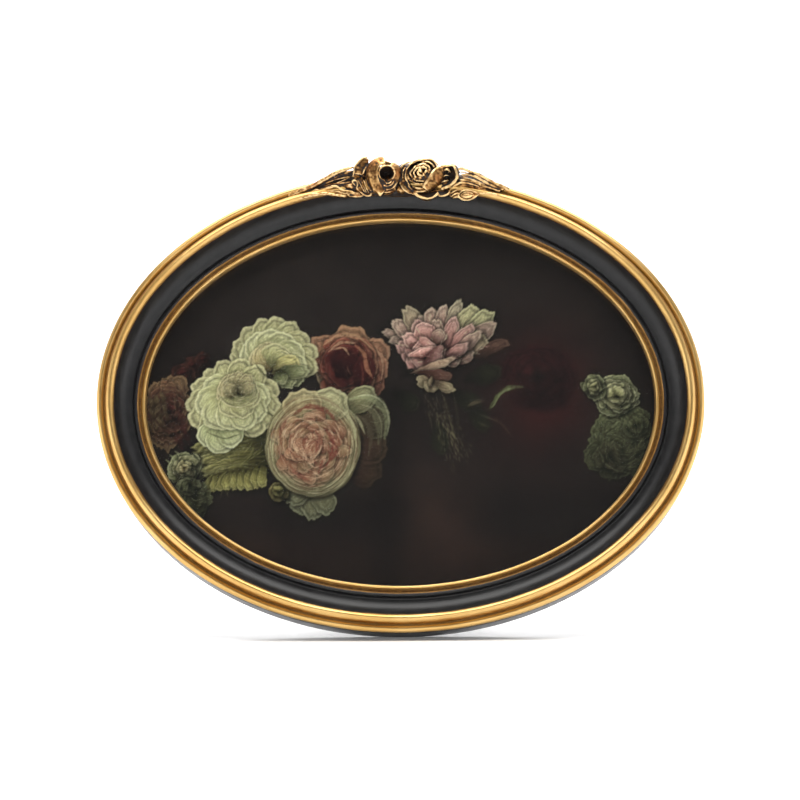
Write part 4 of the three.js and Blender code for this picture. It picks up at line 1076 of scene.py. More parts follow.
    ("lv_a", [(-25.32, 73.88, 16.6), (-22.04, 74.87, 17.1), (-19.04, 76.07, 17.1), (-16.15, 77.49, 16.6)], [0.12, 0.22, 0.22, 0.12]),
    ("lv_b", [(-23.57, 74.21, 16.8), (-20.51, 74.87, 17.3), (-17.89, 75.3, 17.3), (-15.82, 75.74, 16.8)], [0.11, 0.2, 0.2, 0.11]),
]
# blades: the line at the root, the line at the lip, bow, thickness, lip
BLADES = [
    ("leaf_face", [(-33.05, 72.59, 15.0), (-27.72, 74.68, 16.0), (-22.86, 76.99, 17.0), (-19.61, 78.61, 17.5), (-15.91, 79.54, 17.4)],
     [(-32.35, 72.01, 14.8), (-27.72, 72.87, 15.6), (-22.86, 73.29, 16.4), (-19.61, 72.59, 16.6), (-15.45, 71.9, 16.6)], -1.5, 0.8, 0),
    ("leaf_tip", [(-15.38, 78.25, 18.0), (-15.16, 80.44, 18.4), (-13.63, 82.4, 18.5), (-11.67, 83.82, 18.2)],
     [(-12.98, 78.03, 17.2), (-12.0, 79.67, 17.6), (-11.01, 81.2, 17.7), (-10.69, 83.17, 17.6)], 0.15, 1.1, 0),
    ("crescent", [(-4.68, 81.35, 21.0), (-6.37, 80.97, 21.3), (-7.25, 79.54, 21.3), (-7.43, 78.1, 21.0), (-7.16, 76.41, 20.5), (-6.6, 74.91, 19.9), (-5.95, 73.63, 19.3), (-5.14, 72.36, 18.6)],
     [(-5.72, 82.48, 17.0), (-8.38, 82.27, 17.2), (-10.35, 80.81, 16.8), (-10.86, 78.61, 16.6), (-10.4, 76.3, 16.4), (-9.29, 73.93, 16.2), (-7.69, 72.22, 16.2), (-5.95, 71.43, 16.2)], 1.7, 0.9, 0),
    ("hollow_left", [(-4.56, 79.31, 15.6), (-5.49, 78.84, 15.4), (-5.72, 78.15, 15.2), (-5.49, 77.34, 15.4), (-4.68, 76.99, 15.6)],
     [(-5.26, 80.63, 21.2), (-6.6, 79.72, 21.1), (-7.11, 78.27, 20.9), (-6.6, 76.53, 20.2), (-5.03, 75.37, 19.4)], 0.2, 0.7, 0.1),
    ("hollow_right", [(-4.68, 79.31, 15.4), (-3.64, 79.08, 15.4), (-3.29, 78.27, 15.2), (-3.52, 77.45, 15.2), (-4.45, 77.04, 15.2)],
     [(-5.26, 80.63, 21.2), (-2.94, 80.47, 21.0), (-1.55, 78.27, 20.2), (-2.13, 76.64, 19.7), (-4.1, 75.14, 19.2)], 0.2, 0.7, 0.1),
    ("right_wall", [(-3.52, 80.7, 20.9), (-2.06, 79.82, 20.5), (-1.6, 78.27, 20.0), (-2.13, 76.64, 19.5), (-3.17, 75.6, 19.1)],
     [(-2.48, 81.62, 17.4), (-0.28, 80.47, 17.0), (0.3, 78.27, 16.6), (-0.16, 75.83, 16.4), (-1.78, 73.29, 16.2)], 0.8, 0.8, 0),
    ("back_petal", [(-7.69, 81.39, 16.8), (-5.72, 81.39, 17.4), (-3.87, 81.04, 17.6), (-2.25, 80.47, 17.2)],
     [(-8.15, 81.95, 17.0), (-6.41, 82.78, 18.2), (-3.98, 82.55, 18.6), (-2.25, 81.44, 18.0)], 0.2, 0.7, 0.22),
    ("lower_body", [(-7.16, 76.3, 20.0), (-5.95, 75.37, 19.4), (-4.56, 75.14, 19.0), (-2.48, 75.37, 18.6)],
     [(-7.46, 72.24, 16.4), (-5.72, 71.43, 16.6), (-3.64, 71.32, 16.6), (-1.32, 72.36, 16.4)], 0.9, 0.8, 0),
    ("rose_big", [(13.37, 80.51, 19.2), (12.12, 79.54, 20.2), (10.76, 77.41, 20.6), (9.37, 75.37, 20.2), (7.96, 73.47, 19.4)],
     [(15.69, 79.31, 16.6), (15.41, 76.76, 16.6), (14.16, 75.0, 16.6), (12.19, 73.56, 16.4), (9.81, 72.55, 16.4)], 0.9, 0.9, 0),
    ("cup", [(14.16, 78.38, 16.6), (15.32, 78.24, 16.2), (16.29, 78.01, 15.8), (16.76, 77.34, 15.6), (16.8, 76.41, 15.6), (16.29, 75.79, 15.8), (15.32, 75.28, 16.0), (14.16, 74.56, 16.4)],
     [(13.98, 80.7, 18.8), (16.2, 80.79, 19.4), (18.28, 81.02, 19.6), (19.16, 79.65, 19.8), (19.81, 76.95, 19.4), (18.47, 74.86, 19.0), (16.39, 73.38, 18.4), (14.28, 72.73, 17.8)], -0.5, 0.6, 0.3),
    ("cup_back", [(14.39, 80.23, 18.4), (16.25, 80.47, 18.8), (18.1, 80.58, 19.0), (19.03, 79.31, 19.2), (19.49, 76.99, 18.8), (18.33, 75.14, 18.4)],
     [(13.93, 80.19, 15.6), (16.25, 80.88, 15.6), (18.79, 81.11, 15.6), (19.95, 79.54, 15.4), (20.07, 76.99, 15.4), (18.79, 74.68, 15.4)], 0.3, 0.8, 0),
    ("low_left", [(2.81, 77.22, 17.2), (2.81, 75.37, 17.0), (3.65, 73.75, 16.8), (4.67, 72.71, 16.6), (5.83, 72.13, 16.6)],
     [(0.04, 76.88, 18.0), (0.31, 74.33, 18.0), (1.33, 72.55, 17.9), (2.81, 71.43, 17.7), (5.32, 70.79, 17.4)], 0.5, 0.6, 0.26),
    ("low_left_2", [(3.51, 76.07, 17.8), (3.74, 74.68, 17.6), (4.67, 73.52, 17.4), (6.06, 72.71, 17.2)],
     [(2.58, 76.3, 18.6), (2.81, 74.21, 18.4), (4.09, 72.59, 18.2), (6.29, 71.85, 17.8)], 0.2, 0.5, 0.2),
    ("bottom", [(5.41, 72.71, 17.0), (6.75, 72.22, 16.9), (8.14, 71.9, 16.8), (9.3, 71.76, 16.8), (10.69, 71.85, 16.8), (11.73, 72.13, 16.8), (12.82, 72.64, 16.8)],
     [(5.08, 71.94, 18.2), (5.78, 70.69, 18.4), (7.21, 69.91, 18.5), (8.88, 69.37, 18.6), (10.73, 69.51, 18.6), (12.12, 70.16, 18.5), (13.24, 71.43, 18.2)], -0.25, 0.55, 0.3),
    ("bottom_under", [(5.25, 71.43, 17.9), (7.21, 70.28, 18.2), (8.95, 69.77, 18.3), (10.69, 69.86, 18.3), (13.0, 71.2, 17.9)],
     [(5.01, 71.43, 15.0), (6.98, 70.04, 14.6), (8.95, 69.35, 14.4), (10.8, 69.53, 14.4), (13.24, 71.2, 15.0)], 0.2, 0.8, 0),
    ("bottom_2", [(13.1, 72.55, 16.8), (14.02, 72.27, 16.6), (15.09, 72.45, 16.6), (16.01, 72.87, 16.6), (16.83, 73.38, 16.6)],
     [(12.96, 71.09, 17.8), (13.93, 70.18, 18.0), (15.37, 70.28, 18.0), (16.8, 71.06, 17.8), (17.27, 72.22, 17.4)], -0.2, 0.55, 0.28),
]
# swellings: centre and half sizes
SWELLS = [
    ("cushion", (2.35, 78.89, 14.6), (4.2, 3.1, 4.0)),
    ("cushion_low", (1.43, 76.07, 15.2), (1.5, 1.5, 2.4)),
    ("rose_left_body", (-4.56, 76.53, 12.8), (5.0, 4.8, 4.6)),
    ("rose_right_body", (7.21, 77.69, 12.6), (5.6, 4.9, 4.8)),
    ("bud_body", (23.43, 70.69, 14.6), (3.3, 1.55, 2.9)),
    ("fan_body", (19.14, 70.97, 14.6), (2.3, 1.3, 2.3)),
    ("left_leaf_body", (-21.0, 75.14, 12.6), (6.6, 2.4, 3.0)),
    ("left_scroll_body", (-19.61, 71.43, 14.2), (5.6, 1.3, 2.1)),
    ("right_leaf_body", (24.58, 76.3, 13.0), (5.4, 2.4, 3.4)),
    ("right_leaf_body2", (29.21, 74.21, 13.2), (5.4, 1.7, 2.6)),
    ("fold_body", (-12.2, 74.68, 13.4), (2.8, 3.0, 2.9)),
    ("mid_low", (8.84, 73.29, 13.6), (5.6, 1.9, 3.0)),
    ("mid_low_2", (14.86, 73.29, 13.4), (3.4, 2.0, 3.0)),
    ("mid_low_3", (-3.4, 72.82, 13.2), (4.6, 1.5, 3.0)),
    ("cup_body", (16.71, 76.76, 12.6), (3.2, 3.6, 2.9)),
    ("hook_bed", (-13.85, 74.54, 14.6), (3.0, 3.0, 3.3)),
    ("hook_bed_2", (-14.67, 77.0, 14.0), (2.8, 2.8, 3.2)),
    ("tip_bed", (-12.65, 78.8, 14.2), (2.4, 2.6, 3.0)),
    ("scroll_bed", (-16.58, 74.27, 14.8), (4.5, 1.8, 2.8)),
    ("left_bed", (-21.5, 74.16, 14.2), (5.2, 1.5, 2.9)),
    ("left_bed_2", (-24.5, 73.88, 13.6), (4.2, 1.3, 2.9)),
    ("right_bed", (23.83, 74.81, 14.6), (4.6, 2.3, 2.9)),
    ("right_bed_2", (28.74, 73.88, 14.1), (4.8, 1.8, 2.9)),
    ("right_bed_3", (32.56, 73.01, 13.5), (4.2, 1.4, 2.9)),
    ("rose_left_cheek", (-3.37, 75.19, 15.2), (3.1, 3.0, 4.1)),
    ("rose_right_cheek", (2.42, 78.8, 15.0), (3.0, 3.3, 4.1)),
    ("rose_right_heart", (7.23, 78.58, 15.4), (3.7, 3.1, 4.1)),
    ("gap_bed", (0.62, 73.45, 14.2), (2.6, 2.2, 3.4)),
    ("cup_bed", (15.91, 75.08, 13.8), (2.6, 2.6, 3.6)),
    ("rose_left_side", (-8.39, 75.63, 14.6), (2.4, 3.2, 3.6)),
]


def looked(p):
    """Looked-at millimetres to local ones."""
    p = np.asarray(p, float).reshape(-1, 3).copy()
    p[:, 1] = (p[:, 1] - (p[:, 2] - 9.0) * math.sin(VIEW)) / math.cos(VIEW)
    return p


def resample(line, n):
    P = np.asarray(line, float)
    Q = np.vstack([catmull(P, 12), P[-1:]]) if len(P) > 2 else P
    L = np.concatenate([[0], np.cumsum(np.linalg.norm(np.diff(Q, axis=0), axis=1))])
    t = np.linspace(0, L[-1], n)
    return np.stack([np.interp(t, L, Q[:, k]) for k in range(Q.shape[1])], 1)


def cord(line, radii, flat=1.0):
    P0 = np.asarray(line, float)
    n = max(8, int(np.linalg.norm(np.diff(P0, axis=0), axis=1).sum() / 0.35))
    P = resample(P0, n)
    src = np.concatenate([[0], np.cumsum(np.linalg.norm(np.diff(P0, axis=0), axis=1))])
    R = np.interp(np.linspace(0, src[-1], n), src, radii)
    d = np.gradient(P, axis=0)
    d /= np.linalg.norm(d, axis=1)[:, None] + 1e-9
    a = np.cross(d, [0, 0, 1.0])
    a /= np.linalg.norm(a, axis=1)[:, None] + 1e-9
    b = np.cross(a, d)
    k = 10
    t = 2 * np.pi * np.arange(k) / k
    v = (P[:, None] + R[:, None, None] * (np.cos(t)[None, :, None] * a[:, None] + flat * np.sin(t)[None, :, None] * b[:, None])).reshape(-1, 3)
    f = [tuple(q) for q in grid_faces(n, k, False, True)]
    c0, c1 = len(v), len(v) + 1
    v = np.vstack([v, [P[0] - d[0] * R[0] * 0.8], [P[-1] + d[-1] * R[-1] * 0.8]])
    for i in range(k):
        f.append((c0, (i + 1) % k, i))
        f.append((c1, (n - 1) * k + i, (n - 1) * k + (i + 1) % k))
    return v, f


def shell(P, half):
    """A closed skin round the grid P, half thick to each side."""
    du = np.gradient(P, axis=0)
    dv = np.gradient(P, axis=1)
    nr = np.cross(du, dv)
    nr /= np.linalg.norm(nr, axis=2)[..., None] + 1e-9
    r, c = P.shape[:2]
    h = half[..., None]
    v = np.concatenate([(P + nr * h).reshape(-1, 3), (P - nr * h).reshape(-1, 3)])
    m = r * c
    f = [tuple(q) for q in grid_faces(r, c)] + [tuple(q) for q in grid_faces(r, c, base=m, flip=True)]
    edge = [i * c for i in range(r)] + [(r - 1) * c + j for j in range(1, c)] + [i * c + c - 1 for i in range(r - 2, -1, -1)] + [j for j in range(c - 2, 0, -1)]
    for a, b in zip(edge, edge[1:] + edge[:1]):
        f.append((a, b, b + m, a + m))
    return v, f


def blade(root, lip_line, bow, thick, lip, rows=30, cols=16):
    A, B = resample(root, rows), resample(lip_line, rows)
    s = np.linspace(0, 1, cols)
    P = A[:, None] * (1 - s)[None, :, None] + B[:, None] * s[None, :, None]
    du, dv = np.gradient(P, axis=0), np.gradient(P, axis=1)
    nr = np.cross(du, dv)
    nr /= np.linalg.norm(nr, axis=2)[..., None] + 1e-9
    nr *= np.sign(nr[..., 2:3] + 1e-6)
    P = P + nr * (bow * np.sin(np.pi * s))[None, :, None]
    half = thick / 2 + (lip - thick * 0.25 if lip else 0) * np.exp(-((1 - s) / 0.12) ** 2)
    return shell(P, np.tile(half, (rows, 1)))


def coil(cx, cy):
    """The right rose's wound petals."""
    out = []
    turns, n = 3.1, 300
    t = np.linspace(0, 1, n)
    a = 0.7 + t * turns * 2 * np.pi
    r = (0.35 + 3.35 * t ** 0.92) * (1 + 0.07 * np.sin(2 * a + 1.0) + 0.045 * np.sin(3 * a + 0.4) + 0.03 * np.sin(7 * a))
    for k, (t0, t1) in enumerate([(0.0, 0.25), (0.20, 0.38), (0.33, 0.50), (0.45, 0.62), (0.57, 0.72), (0.67, 0.82), (0.77, 0.91), (0.86, 1.0)]):
        m = (t >= t0) & (t <= t1)
        tt, aa, rr = t[m], a[m], r[m]
        s = (tt - t0) / (t1 - t0)
        rr = rr + 0.42 * (s - 0.35)
        top = 21.7 - (0.0, 0.35, -0.1, 0.45, 0.1, 0.5, 0.0, 0.3)[k] - 0.30 * rr - 0.05 * rr ** 2 - 0.9 * np.abs(2 * s - 1) ** 4 + 0.12 * np.sin(9 * aa)
        rows = []
        for q in np.linspace(0, 1, 12):
            rad = rr - 0.45 + 0.62 * q ** 1.6
            z = 15.5 + (top - 15.5) * q
            x, y = rad * np.cos(aa) * 1.10, rad * np.sin(aa) * 0.90
            c, s2 = math.cos(0.30), math.sin(0.30)
            rows.append(np.stack([cx + x * c - y * s2, cy + x * s2 + y * c, z], 1))
        P = np.stack(rows, 1)
        half = np.tile(0.23 + 0.10 * np.exp(-((1 - np.linspace(0, 1, 12)) / 0.14) ** 2), (P.shape[0], 1))
        out.append(shell(P, half))
    # outer petals behind, at the upper right
    for a0, a1, r0, z0 in [(-0.15, 1.25, 4.55, 19.8), (0.35, 1.9, 5.15, 19.0), (1.2, 2.9, 4.7, 19.3), (2.4, 4.0, 4.5, 19.2), (3.5, 5.1, 4.6, 19.0)]:
        aa = np.linspace(a0, a1, 34)
        s = np.linspace(-1, 1, 34)
        rows = []
        for q in np.linspace(0, 1, 12):
            rad = r0 - 0.7 + 0.8 * q ** 1.5 - 0.25 * s ** 2
            z = 15.0 + (z0 - 15.0 - 0.8 * s ** 4) * q
            rows.append(np.stack([cx + rad * np.cos(aa) * 1.08, cy + rad * np.sin(aa) * 0.88, z], 1))
        P = np.stack(rows, 1)
        half = np.tile(0.2 + 0.14 * np.exp(-((1 - np.linspace(0, 1, 12)) / 0.14) ** 2), (34, 1))
        out.append(shell(P, half))
    b = cord([(cx - 0.05, cy, 17.0), (cx, cy, 20.4), (cx + 0.03, cy + 0.02, 21.7)], [0.5, 0.5, 0.34])
    out.append(b)
    return out


def swell(c, r):
    u, v = np.linspace(0, np.pi, 15)[1:-1], 2 * np.pi * np.arange(22) / 22
    P = np.stack([np.outer(np.sin(u), np.cos(v)), np.outer(np.sin(u), np.sin(v)), np.outer(np.cos(u), np.ones(22))], -1).reshape(-1, 3)
    f = [tuple(q) for q in grid_faces(13, 22, False, True)]
    P = np.vstack([P, [[0, 0, 1], [0, 0, -1]]])
    for i in range(22):
        j = (i + 1) % 22
        f.append((len(P) - 2, i, j))
        f.append((len(P) - 1, 12 * 22 + j, 12 * 22 + i))
    return P * np.array(r) + np.array(c), f


def under_rail():
    """The long bed of the crest, along the moulding's top."""
    u = np.linspace(-35.2, 35.2, 60)
    y = (OUTER_B - 4.3) * np.sqrt(1 - (u / (OUTER_A - 3.5)) ** 2)
    w = 0.5 + 3.9 * np.clip(1 - np.abs(u / 35.5), 0, 1) ** 0.7
    z = np.full(60, 13.6)
    P = np.stack([u, y, z], 1)
    v, f = cord(P, w, 0.62)
    return v, f


def build_crest():
    parts = []
    for n, line, radii in CORDS:
        v, f = cord(line, radii)
        parts.append((looked(v), f))
    for n, a, b, bow, th, lip in BLADES:
        v, f = blade(a, b, bow, th, lip)
        parts.append((looked(v), f))
    for n, c, r in SWELLS:
        v, f = swell(c, r)
        parts.append((looked(v), f))
    for v, f in coil(7.4, 78.6):
        parts.append((looked(v), f))
    parts.append(under_rail())
    V, F, k = [], [], 0
    for v, f in parts:
        V.append(v)
        F += [tuple(i + k for i in q) for q in f]
        k += len(v)
    ob = make("crest_parts", np.vstack(V), F)
    bm = bmesh.new()
    bm.from_mesh(ob.data)
    bmesh.ops.recalc_face_normals(bm, faces=bm.faces)
    bm.to_mesh(ob.data)
    bm.free()
    rm = ob.modifiers.new("fuse", "REMESH")
    rm.mode, rm.voxel_size, rm.adaptivity = "VOXEL", CREST_VOXEL, 0.0
    me = bpy.data.meshes.new_from_object(ob.evaluated_get(bpy.context.evaluated_depsgraph_get()))
    bpy.data.objects.remove(ob)
    n = len(me.vertices)
    co = np.zeros(n * 3, np.float64)
    me.vertices.foreach_get("co", co)
    co = co.reshape(-1, 3)
    ed = np.zeros(len(me.edges) * 2, np.int64)
    me.edges.foreach_get("vertices", ed)
    ed = ed.reshape(-1, 2)
    deg = np.bincount(ed.ravel(), minlength=n).astype(float)

    def average(x):
        out = np.zeros_like(x)
        for k in range(x.shape[1]):
            out[:, k] = np.bincount(ed[:, 0], x[ed[:, 1], k], n) + np.bincount(ed[:, 1], x[ed[:, 0], k], n)
        return out / deg[:, None]
    for _ in range(3):
        co = co + 0.5 * (average(co) - co)
        co = co - 0.36 * (average(co) - co)
    me.vertices.foreach_set("co", co.astype(np.float32).ravel())
    me.update()
    nor = np.zeros(n * 3, np.float32)
    me.vertices.foreach_get("normal", nor)
    lump = 0.13 * noise2(co[:, 0] * 0.55 + 0.3 * co[:, 2], co[:, 1] * 0.55 - 0.2 * co[:, 2], 61) + 0.075 * noise2(co[:, 0] * 1.5 + 0.5 * co[:, 2], co[:, 1] * 1.5, 62)
    co = co + nor.reshape(-1, 3) * (lump * np.clip((co[:, 2] - 13.0) / 2.5, 0, 1))[:, None]
    me.vertices.foreach_set("co", co.astype(np.float32).ravel())
    me.update()
    nor = np.zeros(n * 3, np.float32)
    me.vertices.foreach_get("normal", nor)
    nor = nor.reshape(-1, 3).astype(float)
    s1, s2 = co.copy(), co.copy()
    for _ in range(8):
        s1 = average(s1)
    for _ in range(70):
        s2 = average(s2)
    c1 = ((s1 - co) * nor).sum(1)
    c2 = ((s2 - co) * nor).sum(1)
    cav = np.clip(c1 / 0.07, -1.5, 1.5) * 0.45 + np.clip(c2 / 0.42, -1.5, 1.5) * 0.55
    me.vertices.foreach_set("co", world(co).astype(np.float32).ravel())
    me.update()
    me.shade_smooth()
    out = bpy.data.objects.new("crest", me)
    me.name = "crest"
    scene.collection.objects.link(out)
    give(out, "cavity", cav)
    give(out, "crestz", co[:, 2])
    return out


CREST_VOXEL = 0.2
crest = build_crest()
print("crest faces", len(crest.data.polygons))


def crest_material():
    m = Nodes("antique_gilt")
    co = m.obj()
    cav = m.attr("cavity")
    z = m.attr("crestz")
    fine = m.noise(co, 1500.0, 3, 0.6)
    big = m.noise(co, 260.0, 3, 0.6)
    c = m.add(cav, m.mul(m.sub(fine, 0.5), 0.35))
    c = m.add(c, m.mul(m.sub(big, 0.5), 0.45))
    # painted shade: besides the patina in its hollows, the crest is made darker the lower it sits, most at 13.5 mm and
    # none above 18.4 mm
    low = m.mapr(z, 13.5, 18.4, 0.50, 0.0)
    c = m.add(m.add(c, low), 0.20)
    top = m.mix(m.mapr(big, 0.35, 0.68), (0.38, 0.20, 0.066), (0.51, 0.30, 0.115))
    copper = m.mix(m.mapr(m.noise(co, 150.0, 2), 0.48, 0.62), top, (0.36, 0.155, 0.05))
    mid = m.mix(m.mapr(c, -0.42, 0.08), copper, (0.13, 0.058, 0.019))
    col = m.mix(m.mapr(c, -0.02, 0.36), mid, (0.014, 0.007, 0.004))
    # painted highlight: the most convex ridges are made pale gold
    col = m.mix(m.mapr(c, -0.42, -1.0), col, (0.86, 0.60, 0.29))
    m.set(Base_Color=col, Metallic=m.mapr(c, 0.0, 0.5, 0.92, 0.12),
          Roughness=m.add(m.mapr(c, -0.6, 0.6, 0.30, 0.55), m.mul(m.sub(fine, 0.5), 0.18)),
          Normal=m.bump(fine, 0.25, 0.00012))
    return m.m


settle(crest, "frame", "rose_crest", crest_material())
# ------------------------------------------------------------------ the print: a dark floral still life
# It is painted petal by petal onto a fine sheet of points; colours are worked in display values.
PITCH = 0.135
CELL = 8
NX, NY = 170, 126
PW, PH = NX * CELL + 1, NY * CELL + 1
X0, Y0 = -NX * CELL * PITCH / 2, -NY * CELL * PITCH / 2


def sm(a, b, x):
    t = np.clip((x - a) / (b - a), 0, 1)
    return t * t * (3 - 2 * t)


class Painting:
    def __init__(self):
        self.x = X0 + PITCH * np.arange(PW)
        self.y = Y0 + PITCH * np.arange(PH)
        self.c = np.zeros((PH, PW, 3), np.float32)
        self.k = 0

    def window(self, x0, x1, y0, y1):
        i0, i1 = int(max(0, (x0 - X0) / PITCH)), int(min(PW, (x1 - X0) / PITCH + 2))
        j0, j1 = int(max(0, (y0 - Y0) / PITCH)), int(min(PH, (y1 - Y0) / PITCH + 2))
        if i1 <= i0 or j1 <= j0:
            return None
        X, Y = np.meshgrid(self.x[i0:i1], self.y[j0:j1])
        return slice(j0, j1), slice(i0, i1), X, Y

    def petal(self, bx, by, ang, L, W, cols, bend=0.0, wave=0.07, rim=0.7, shadow=0.55, light=1.0, curl=0.3, soft=0.16, keep=1.0):
        dark, mid, lite, edge = [np.array(c, float) / 255 for c in cols]
        self.k += 1
        s = self.k * 7
        m = max(L, W) * 1.25 + 1.5
        cx, cy = bx + 0.5 * L * math.cos(ang), by + 0.5 * L * math.sin(ang)
        w = self.window(cx - m, cx + m, cy - m, cy + m)
        if w is None:
            return
        J, I, X, Y = w
        ca, sa = math.cos(ang), math.sin(ang)

        def space(X, Y):
            n1 = noise2(X * 0.45, Y * 0.45, s) * 0.35 + noise2(X * 1.6, Y * 1.6, s + 1) * 0.12
            n2 = noise2(X * 0.45 + 9, Y * 0.45, s + 2) * 0.35 + noise2(X * 1.6, Y * 1.6 + 5, s + 3) * 0.12
            dx, dy = X - bx + n1, Y - by + n2
            p, q = dx * ca + dy * sa, -dx * sa + dy * ca
            q = q - bend * (p / L) ** 2 * L
            wid = W * (0.62 + 0.38 * sm(-0.1, 0.7, p / L))
            e = np.sqrt(((p / L - 0.5) / 0.5) ** 2 + (q / wid) ** 2)
            th = np.arctan2(q / W, p / L - 0.5)
            return p, q, e + wave * noise1(th * 2.1 + s, s) * sm(0.3, 1.0, e) + wave * 0.5 * noise1(th * 5.3, s + 5), th
        p, q, e, th = space(X, Y)
        if shadow:
            es = space(X - 0.35, Y + 0.5)[2]
            d = np.clip(1 - (np.minimum(e, es) - 0.92) / (1.1 / max(1.2, min(L, 2 * W) * 0.5)), 0, 1) * shadow
            self.c[J, I] *= (1 - d)[..., None]
        dl = soft / max(0.8, 0.5 * min(L, 2 * W))
        a = (1 - sm(1 - dl, 1 + dl, e)) * keep
        t = p / L
        st = noise2(q * 2.6, p * 0.35, s + 6) * 0.6 + noise2(q * 5.5, p * 0.8, s + 7) * 0.4
        ln = np.sin(e * 0.5 * min(L, 2 * W) * 7.5 + 2.2 * noise2(X * 0.8, Y * 0.8, s + 8))
        k1 = sm(0.02, 0.62, t + 0.10 * st)
        col = dark + (mid - dark) * k1[..., None]
        k2 = sm(0.48, 1.0, t + 0.16 * st + 0.05 * ln)
        col = col + (lite - col) * k2[..., None]
        r = 1 - e
        rm = np.exp(-(r / 0.075) ** 2) * sm(0.25, 0.75, t) * rim * (0.7 + 0.6 * noise1(th * 7, s + 9))
        col = col + (edge - col) * np.clip(rm, 0, 1)[..., None]
        lipd = np.exp(-((r - 0.2) / 0.07) ** 2) * sm(0.4, 0.8, t) * curl
        g = (1 + 0.15 * (-math.sin(ang) * 0 + (q / W) * (sa * 0.5 + ca * 0.7) + (t - 0.5) * (sa * 0.8 - ca * 0.5))) * light
        col = col * (g * (1 - lipd) * (1 + 0.10 * st + 0.05 * ln))[..., None]
        self.c[J, I] = self.c[J, I] * (1 - a)[..., None] + np.clip(col, 0, 1) * a[..., None]

    def stroke(self, line, width, col, alpha=1.0, taper=True, rag=0.5):
        self.k += 1
        s = self.k * 5
        P = resample(np.array([(a, b, 0) for a, b in line], float), 18)[:, :2] if len(line) > 2 else np.linspace(line[0], line[1], 8)
        lo, hi = P.min(0) - width * 2 - 0.5, P.max(0) + width * 2 + 0.5
        w = self.window(lo[0], hi[0], lo[1], hi[1])
        if w is None:
            return
        J, I, X, Y = w
        best, pos = np.full(X.shape, 1e9), np.zeros(X.shape)
        n = len(P) - 1
        for i in range(n):
            a, b = P[i], P[i + 1]
            d = b - a
            u = np.clip(((X - a[0]) * d[0] + (Y - a[1]) * d[1]) / (d @ d + 1e-9), 0, 1)
            D = np.hypot(X - a[0] - u * d[0], Y - a[1] - u * d[1])
            m = D < best
            best = np.where(m, D, best)
            pos = np.where(m, (i + u) / n, pos)
        wd = width * (np.sin(np.pi * np.clip(pos, 0.02, 0.98)) ** 0.5 if taper else 1.0)
        wd = wd * (1 + rag * 0.6 * noise1(pos * 9 + s, s))
        k = 1 - sm(0.6, 1.1, best / (wd + 1e-6))
        k = k * alpha * np.clip(1 + rag * noise2(X * 2.4, Y * 2.4, s + 1), 0, 1)
        self.c[J, I] = self.c[J, I] * (1 - k)[..., None] + np.array(col, float) / 255 * k[..., None]

    def rose(self, cx, cy, rx, ry, outer, inner, rings, seed, lean=(0, 0), turn=0.0, light=1.0, rim=0.7, wave=0.07, curl=0.3, shadow=0.55):
        rng = np.random.RandomState(seed)
        K = len(rings)
        for k, (r, n, wf) in enumerate(rings):
            f = k / max(1, K - 1)
            cols = [tuple(np.array(a) * (1 - f) + np.array(b) * f) for a, b in zip(outer, inner)]
            off = rng.rand() * 6.28
            order = rng.permutation(n)
            for j in order:
                a = off + 2 * math.pi * j / n + rng.uniform(-0.18, 0.18) + turn
                rr = r * rng.uniform(0.9, 1.08)
                ex, ey = math.cos(a) * rx * rr, math.sin(a) * ry * rr
                L = math.hypot(ex, ey)
                ang = math.atan2(ey, ex)
                W = wf * (rx + ry) * 0.5 * rr * math.sin(math.pi / n) * rng.uniform(1.15, 1.4)
                bx = cx + lean[0] * (1 - r) + 0.06 * ex
                by = cy + lean[1] * (1 - r) + 0.06 * ey
                up = 1 + 0.13 * math.sin(a) - 0.08 * math.cos(a)
                v = rng.uniform(0.88, 1.1)
                cc = [tuple(np.array(c) * v) for c in cols]
                self.petal(bx, by, ang + rng.uniform(-0.1, 0.1), L, max(W, 0.5), cc, bend=rng.uniform(-0.2, 0.2), wave=wave, rim=rim,
                           light=light * up, curl=curl, shadow=shadow)


